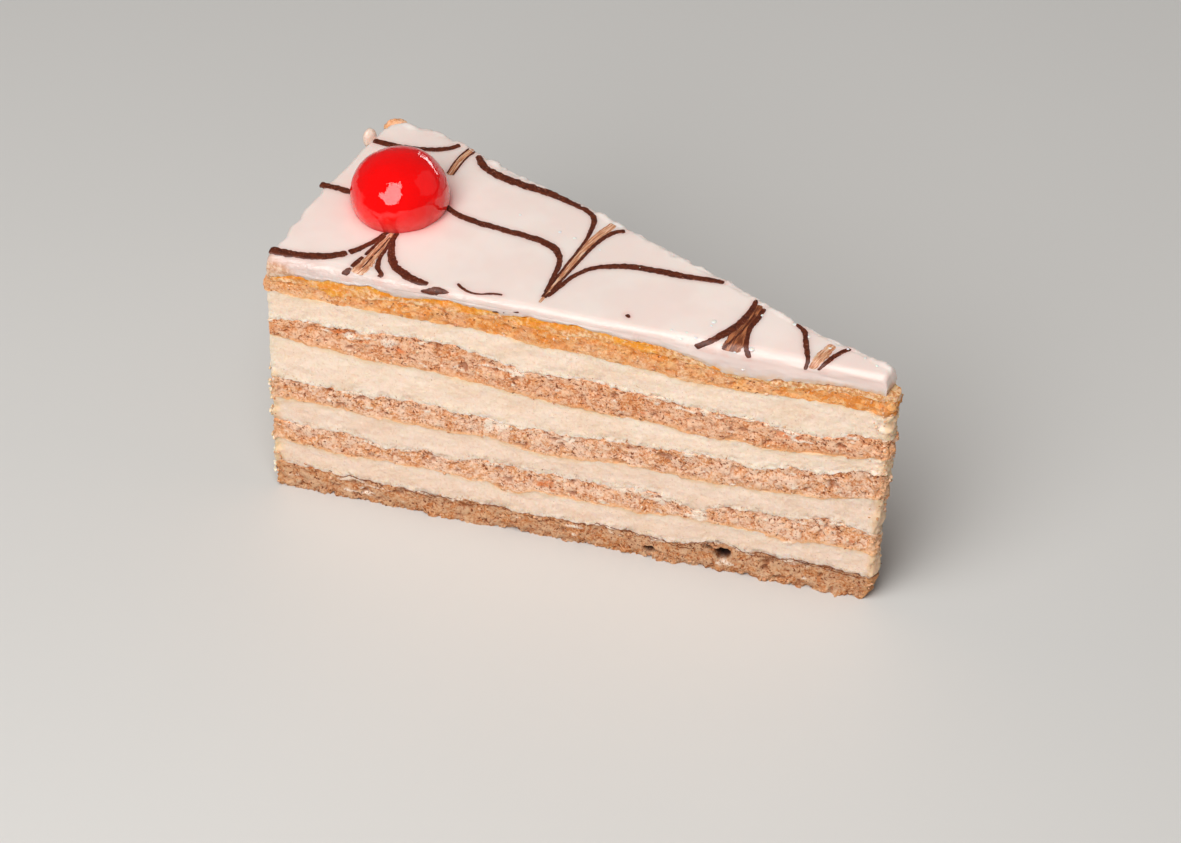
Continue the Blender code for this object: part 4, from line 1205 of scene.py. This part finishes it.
def scatter(faces, kind, count, rng):
    """Places for count bits, and the outward directions there; kind picks the chance that each point of
    the cut faces has."""
    chance = np.concatenate([face[kind].ravel() for face in faces])
    points = np.vstack([face[0].reshape(-1, 3) for face in faces])
    directions = np.vstack([np.broadcast_to(face[1], face[0].shape).reshape(-1, 3) for face in faces])
    chosen = rng.choice(len(chance), count, replace=False, p=chance / chance.sum())
    return points[chosen], directions[chosen]


def skin_strands():
    """Thin strands of skin that wander along the top of the lowest sponge on the near cut."""
    outward = np.array((math.sin(HALF_ANGLE), -math.cos(HALF_ANGLE), 0.0))
    turn = np.linspace(0, 2 * np.pi, STRAND_SIDES, endpoint=False)
    vertices, faces, offset = [], [], 0
    for number, (start, end) in enumerate(SKIN_STRANDS):
        s = np.arange(start, end, 0.12)
        z = layer_top("sponge_1", s, np.full(len(s), -1.0)) + 0.1 - 0.45 * (number % 3 == 1)
        z += 0.42 * line_noise(s, 2.3, 870 + number) + 0.26 * line_noise(s, 0.9, 890 + number)
        centre = on_slice(s, -1.0, z) + outward * (0.17 + 0.05 * line_noise(s, 1.1, 910 + number))[:, None]
        ends = np.minimum(1, np.minimum(s - s[0], s[-1] - s) / 0.6 + 0.15)
        width = ends * (0.065 + 0.05 * line_noise(s, 0.6, 930 + number))
        tube = centre[:, None] + (width[:, None] * np.cos(turn))[..., None] * (0, 0, 1)
        tube = tube + (0.06 * np.sin(turn))[None, :, None] * outward
        index = offset + np.arange(len(s) * STRAND_SIDES).reshape(-1, STRAND_SIDES)
        faces += grid_faces(index, closed=True) + [index[0].tolist(), index[-1, ::-1].tolist()]
        vertices.append(tube.reshape(-1, 3))
        offset += len(s) * STRAND_SIDES
    return np.vstack(vertices), faces


def build_crumbs(faces, crumb_material, skin_material):
    """Crumbs and dark slivers of nut skin that cling to the cut faces."""
    rng = np.random.default_rng(41)
    places, normals = scatter(faces, 2, CRUMB_COUNT, rng)
    sizes = rng.uniform(*CRUMB_SIZE, (CRUMB_COUNT, 1)) * rng.uniform(0.6, 1.4, (CRUMB_COUNT, 3))
    points, mesh_faces, shade = chips(places, normals, sizes, rng)
    # Crumbs low on the slice are darker: painted shade, to match the shaded lowest sponge
    shade = np.where(points[:, 2] < 5.5, 0.4 + 0.6 * shade, shade)
    points[:, 2] = np.maximum(points[:, 2], 0.02)
    obj = make_object("clinging_crumbs", points, mesh_faces, crumb_material, [("shade", shade)])
    place_piece(obj, "sponge")
    places, normals = scatter(faces, 3, SKIN_COUNT, rng)
    sizes = draw_shapes(rng, SKIN_SHAPE, SKIN_COUNT)
    points, mesh_faces, shade = chips(places + 0.02 * normals, normals, sizes, rng, cuts=2)
    points[:, 2] = np.maximum(points[:, 2], 0.02)
    strands, strand_faces = skin_strands()
    mesh_faces += [[v + len(points) for v in face] for face in strand_faces]
    shade = np.concatenate([shade, np.full(len(strands), 0.15)])
    obj = make_object("nut_skin_slivers", np.vstack([points, strands]), mesh_faces, skin_material,
                      [("shade", shade)], recalculate=True)
    place_piece(obj, "sponge")


def build_drops(look, back):
    """Small drops of syrup that stand on the icing."""
    ball, faces = unit_ball(3)
    u, y, size = np.array(DROPS).T
    places, _ = on_icing(u, y, back)
    rng = np.random.default_rng(63)
    stretch = rng.uniform(1.0, 1.7, (len(DROPS), 1, 3)) * (1, 1, 0.4)
    points = ball[None] * stretch * size[:, None, None] + places[:, None, :]
    all_faces = repeat_faces(faces, len(ball), len(DROPS))
    return place_piece(make_object("syrup_drops", points, all_faces, look), "icing")


def rim_place(t, z, offset):
    """Points on the rim, moved outward by offset."""
    points = on_slice(np.full(np.shape(t), COAT_START), t, z)
    angle = t * HALF_ANGLE
    outward = np.stack([-np.cos(angle), np.sin(angle), np.zeros_like(angle)], axis=-1)
    return points + outward * np.asarray(offset)[..., None], outward


def coat_thickness(t, z):
    points = np.stack([20 * t, np.zeros_like(t), z], axis=-1)
    border = COAT_NUT_TOP + 2.5 * layered_noise(points * (1, 1, 0.2), 6.0, 850)
    nutty = smooth_step(1.2, -1.6, z - border)
    lumpy = 0.5 + 0.5 * layered_noise(points, 2.2, 851)
    smooth = 0.10 * layered_noise(points, (9.0, 9.0, 2.0), 852)
    return COAT_CREAM_THICKNESS + smooth + nutty * COAT_NUT_THICKNESS * np.clip(lumpy, 0, 1), nutty


def build_rim_coat(look):
    """Sheet of cream on the rim, which is lumpier where the nuts are."""
    columns, rows = COAT_GRID
    t, up = np.meshgrid(np.linspace(COAT_SPAN, -COAT_SPAN, columns), np.linspace(0, 1, rows))
    upper = COAT_TOP + 0.5 * line_noise(t * 20, 4.0, 853)
    z = COAT_BOTTOM + up * (upper - COAT_BOTTOM)
    thickness, nutty = coat_thickness(t, z)
    edge = np.minimum(smooth_step(0, 0.02, up), smooth_step(0, 0.015, 1 - up))
    edge = edge * (0.5 + 0.5 * smooth_step(COAT_SPAN, COAT_SPAN - 0.03, np.abs(t)))
    front, _ = rim_place(t, z, 0.25 + (thickness - 0.25) * edge)
    behind, _ = rim_place(t, z, np.zeros_like(t))
    vertices = np.concatenate([front, behind])
    index = np.arange(rows * columns).reshape(rows, columns)
    sheet = np.stack([index[:-1, :-1], index[:-1, 1:], index[1:, 1:], index[1:, :-1]], axis=-1).reshape(-1, 4)
    border = np.concatenate([index[0, :-1], index[:-1, -1], index[-1, :0:-1], index[:0:-1, 0]])
    following = np.roll(border, -1)
    total = rows * columns
    rims = np.stack([border, border + total, following + total, following], axis=1)
    faces = sheet.tolist() + (sheet[:, ::-1] + total).tolist() + rims.tolist()
    plain = np.zeros_like(nutty)
    attributes = [("edge", [plain, plain]), ("torn", [nutty * 0.5, plain])]
    obj = make_object("rim_cream", vertices, faces, look, attributes, recalculate=True)
    return place_piece(obj, "cream", "rim_coat")


def build_rim_nuts(look):
    """Chopped nuts on the rim's lower part, and smaller ones that wrap round its two corners."""
    rng = np.random.default_rng(52)
    t = rng.uniform(-NUT_SPAN, NUT_SPAN, NUT_COUNT)
    side = rng.choice((-1, 1), CORNER_NUT_COUNT)
    t = np.concatenate([t, side * rng.uniform(*CORNER_NUT_SPAN, CORNER_NUT_COUNT)])
    at_side = np.abs(t) > NUT_SPAN
    count = len(t)
    z = COAT_BOTTOM + 0.6 + (COAT_NUT_TOP + 0.8 - COAT_BOTTOM) * rng.random(count) ** 1.15
    size = rng.uniform(*NUT_SIZE, count) * np.where(at_side, 0.75, 1.0)
    thickness, _ = coat_thickness(t, z)
    offset = np.minimum(thickness - 0.1, 1.7 - 0.55 * size)
    places, outward = rim_place(t, z, np.where(at_side, rng.uniform(*CORNER_NUT_OFFSET, count), offset))
    sizes = size[:, None] * draw_shapes(rng, NUT_SHAPE, count)
    points, faces, shade = chips(places, outward, sizes, rng)
    # The nuts round the corners are paler: partly their own paler colour, partly painted light where the
    # corners face away from the key
    shade = np.where(np.repeat(at_side, len(points) // count), shade * 1.6 - 1.3, shade)
    points[:, 2] = np.maximum(points[:, 2], 0.05)
    obj = make_object("rim_nuts", points, faces, look, [("shade", shade)])
    return place_piece(obj, "nuts", "rim_coat")


def build_lump(name, place, sizes, turn, material, attributes, slot, node, seed):
    """Rough ball at place, which is (u, y, height), with the same attributes all over."""
    u, y, height = place
    centre = (*flat_place(u, y)[:2], height)
    ball, faces = unit_ball(5)
    rough = 1 + 0.12 * layered_noise(ball * np.array(sizes), 1.4, seed)
    points = ball * rough[:, None] * np.array(sizes)
    cos, sin = math.cos(turn), math.sin(turn)
    points = points @ np.array(((cos, sin, 0), (-sin, cos, 0), (0, 0, 1))) + centre
    values = [(label, np.full(len(points), value)) for label, value in attributes.items()]
    obj = make_object(name, points, faces.tolist(), material, values)
    return place_piece(obj, slot, node)


# Camera, floor and light

def build_camera():
    azimuth, elevation = CAMERA_AZIMUTH, CAMERA_ELEVATION
    back = Vector((math.sin(azimuth) * math.cos(elevation), -math.cos(azimuth) * math.cos(elevation),
                   math.sin(elevation)))
    right = Vector((math.cos(azimuth), math.sin(azimuth), 0.0))
    up = back.cross(right)
    rolled_right = math.cos(CAMERA_ROLL) * right + math.sin(CAMERA_ROLL) * up
    rolled_up = -math.sin(CAMERA_ROLL) * right + math.cos(CAMERA_ROLL) * up
    camera = bpy.data.cameras.new("photo_view")
    camera.sensor_width = 36.0
    camera.lens = camera.sensor_width * CAMERA_FOCAL_PIXELS / PHOTO_WIDTH
    camera.clip_start = 0.01
    obj = bpy.data.objects.new("photo_view", camera)
    place = Vector(CAMERA_TARGET) * MM + back * CAMERA_DISTANCE
    axes = Matrix((rolled_right, rolled_up, back)).transposed().to_4x4()
    obj.matrix_world = Matrix.Translation(place) @ axes
    bpy.context.scene.collection.objects.link(obj)
    bpy.context.scene.camera = obj
    return back


def area_light(name, place, size, power, colour=(1.0, 1.0, 1.0), aim=(0.0, 0.0, 0.025)):
    light = bpy.data.lights.new(name, "AREA")
    light.shape = "ELLIPSE"
    light.size, light.size_y = size
    light.energy = power
    light.color = colour
    obj = bpy.data.objects.new(name, light)
    direction = Vector(aim) - Vector(place)
    obj.matrix_world = Matrix.Translation(place) @ direction.to_track_quat("-Z", "Y").to_matrix().to_4x4()
    bpy.context.scene.collection.objects.link(obj)
    return obj


def build_studio():
    look = Look("pale_floor", Roughness=0.6)
    look.coat = look.mix(look.noise(120.0, 2), (0.66, 0.65, 0.63), (0.63, 0.62, 0.60))
    bpy.ops.mesh.primitive_plane_add(size=6.0, location=(0, 0, 0))
    floor = bpy.context.object
    floor.name = "floor"
    floor.data.materials.append(look.finish())
    world = bpy.data.worlds.new("soft_studio")
    world.use_nodes = True
    world.node_tree.nodes["Background"].inputs["Color"].default_value = (1.0, 0.98, 0.96, 1.0)
    world.node_tree.nodes["Background"].inputs["Strength"].default_value = 0.11
    bpy.context.scene.world = world
    bpy.context.scene.view_settings.view_transform = "Standard"


def light_slice():
    """Softboxes. The key stands where the cherry's highlight puts it, and a low one behind makes the
    glints along the far edge."""
    area_light("key", (0.005, -0.465, 0.64), (0.6, 0.95), 7.9, (1.0, 0.985, 0.97))
    area_light("fill", (0.62, 0.50, 0.62), (1.0, 1.0), 0.5)
    area_light("low_back", (0.0, 0.85, 0.13), (0.5, 0.1), 0.6)


def build_all():
    build_studio()
    back = build_camera()
    light_slice()
    sponge = sponge_look("nut_sponge", (0.965, 0.80, 0.70))
    # The lowest sponge's darker tint is painted shade, for the weaker light low on the slice
    shaded_base_sponge = sponge_look("shaded_base_sponge", (0.71, 0.52, 0.37))
    upper_sponge = sponge_look("upper_sponge", (0.93, 0.70, 0.555))
    soaked_sponge = sponge_look("soaked_sponge", (0.95, 0.79, 0.65), shine=0.5)
    cream = cream_look("buttercream", (0.98, 0.97, 0.96))
    # The two lower creams get a darker tint as painted shade, for the light that falls off lower down
    shaded_lower_cream = cream_look("shaded_lower_buttercream", (0.94, 0.91, 0.90))
    icing = icing_look()
    faces = []
    for number, look in enumerate((shaded_base_sponge, sponge, sponge, upper_sponge, soaked_sponge), 1):
        build_sponge(f"sponge_{number}", 1000 * number, look, faces)
    for number, look in enumerate((shaded_lower_cream, shaded_lower_cream, cream, cream), 1):
        build_cream(f"cream_{number}", 6000 + 1000 * number, look, faces)
    build_jam(jam_look())
    lines = [smooth_path(places) * (1, 1, LINE_WIDENING) for places in CHOCOLATE_LINES.values()]
    streaks = [smooth_path(places) for places in STREAKS.values()]
    build_icing(icing, lines)
    build_ribbons("chocolate_lines", lines, LINE_HEIGHT, chocolate_look(), 740, back)
    deep = [1.0 if name in DEEP_STREAKS else 0.0 for name in STREAKS]
    build_ribbons("dragged_streaks", streaks, STREAK_HEIGHT, streak_look(), 770, back, deep)
    build_cherry(cherry_look())
    build_rim_coat(cream)
    build_rim_nuts(nut_look())
    build_lump("rim_bead", BEAD_PLACE, BEAD_SIZE, BEAD_TURN, icing,
               {"thin": 0.35, "corner": 0.15, "halo": 0.0, "painted_cherry_bounce": 0.0}, "icing", "icing", 810)
    build_lump("far_corner_crumb", CORNER_LUMP_PLACE, CORNER_LUMP_SIZE, CORNER_LUMP_TURN, sponge,
               {"soak": 0.3, "tone": 0.7, "low": 0.3}, "sponge", "sponge_5", 820)
    build_crumbs(faces, crumb_look(), skin_look())
    build_drops(syrup_look(), back)


build_all()
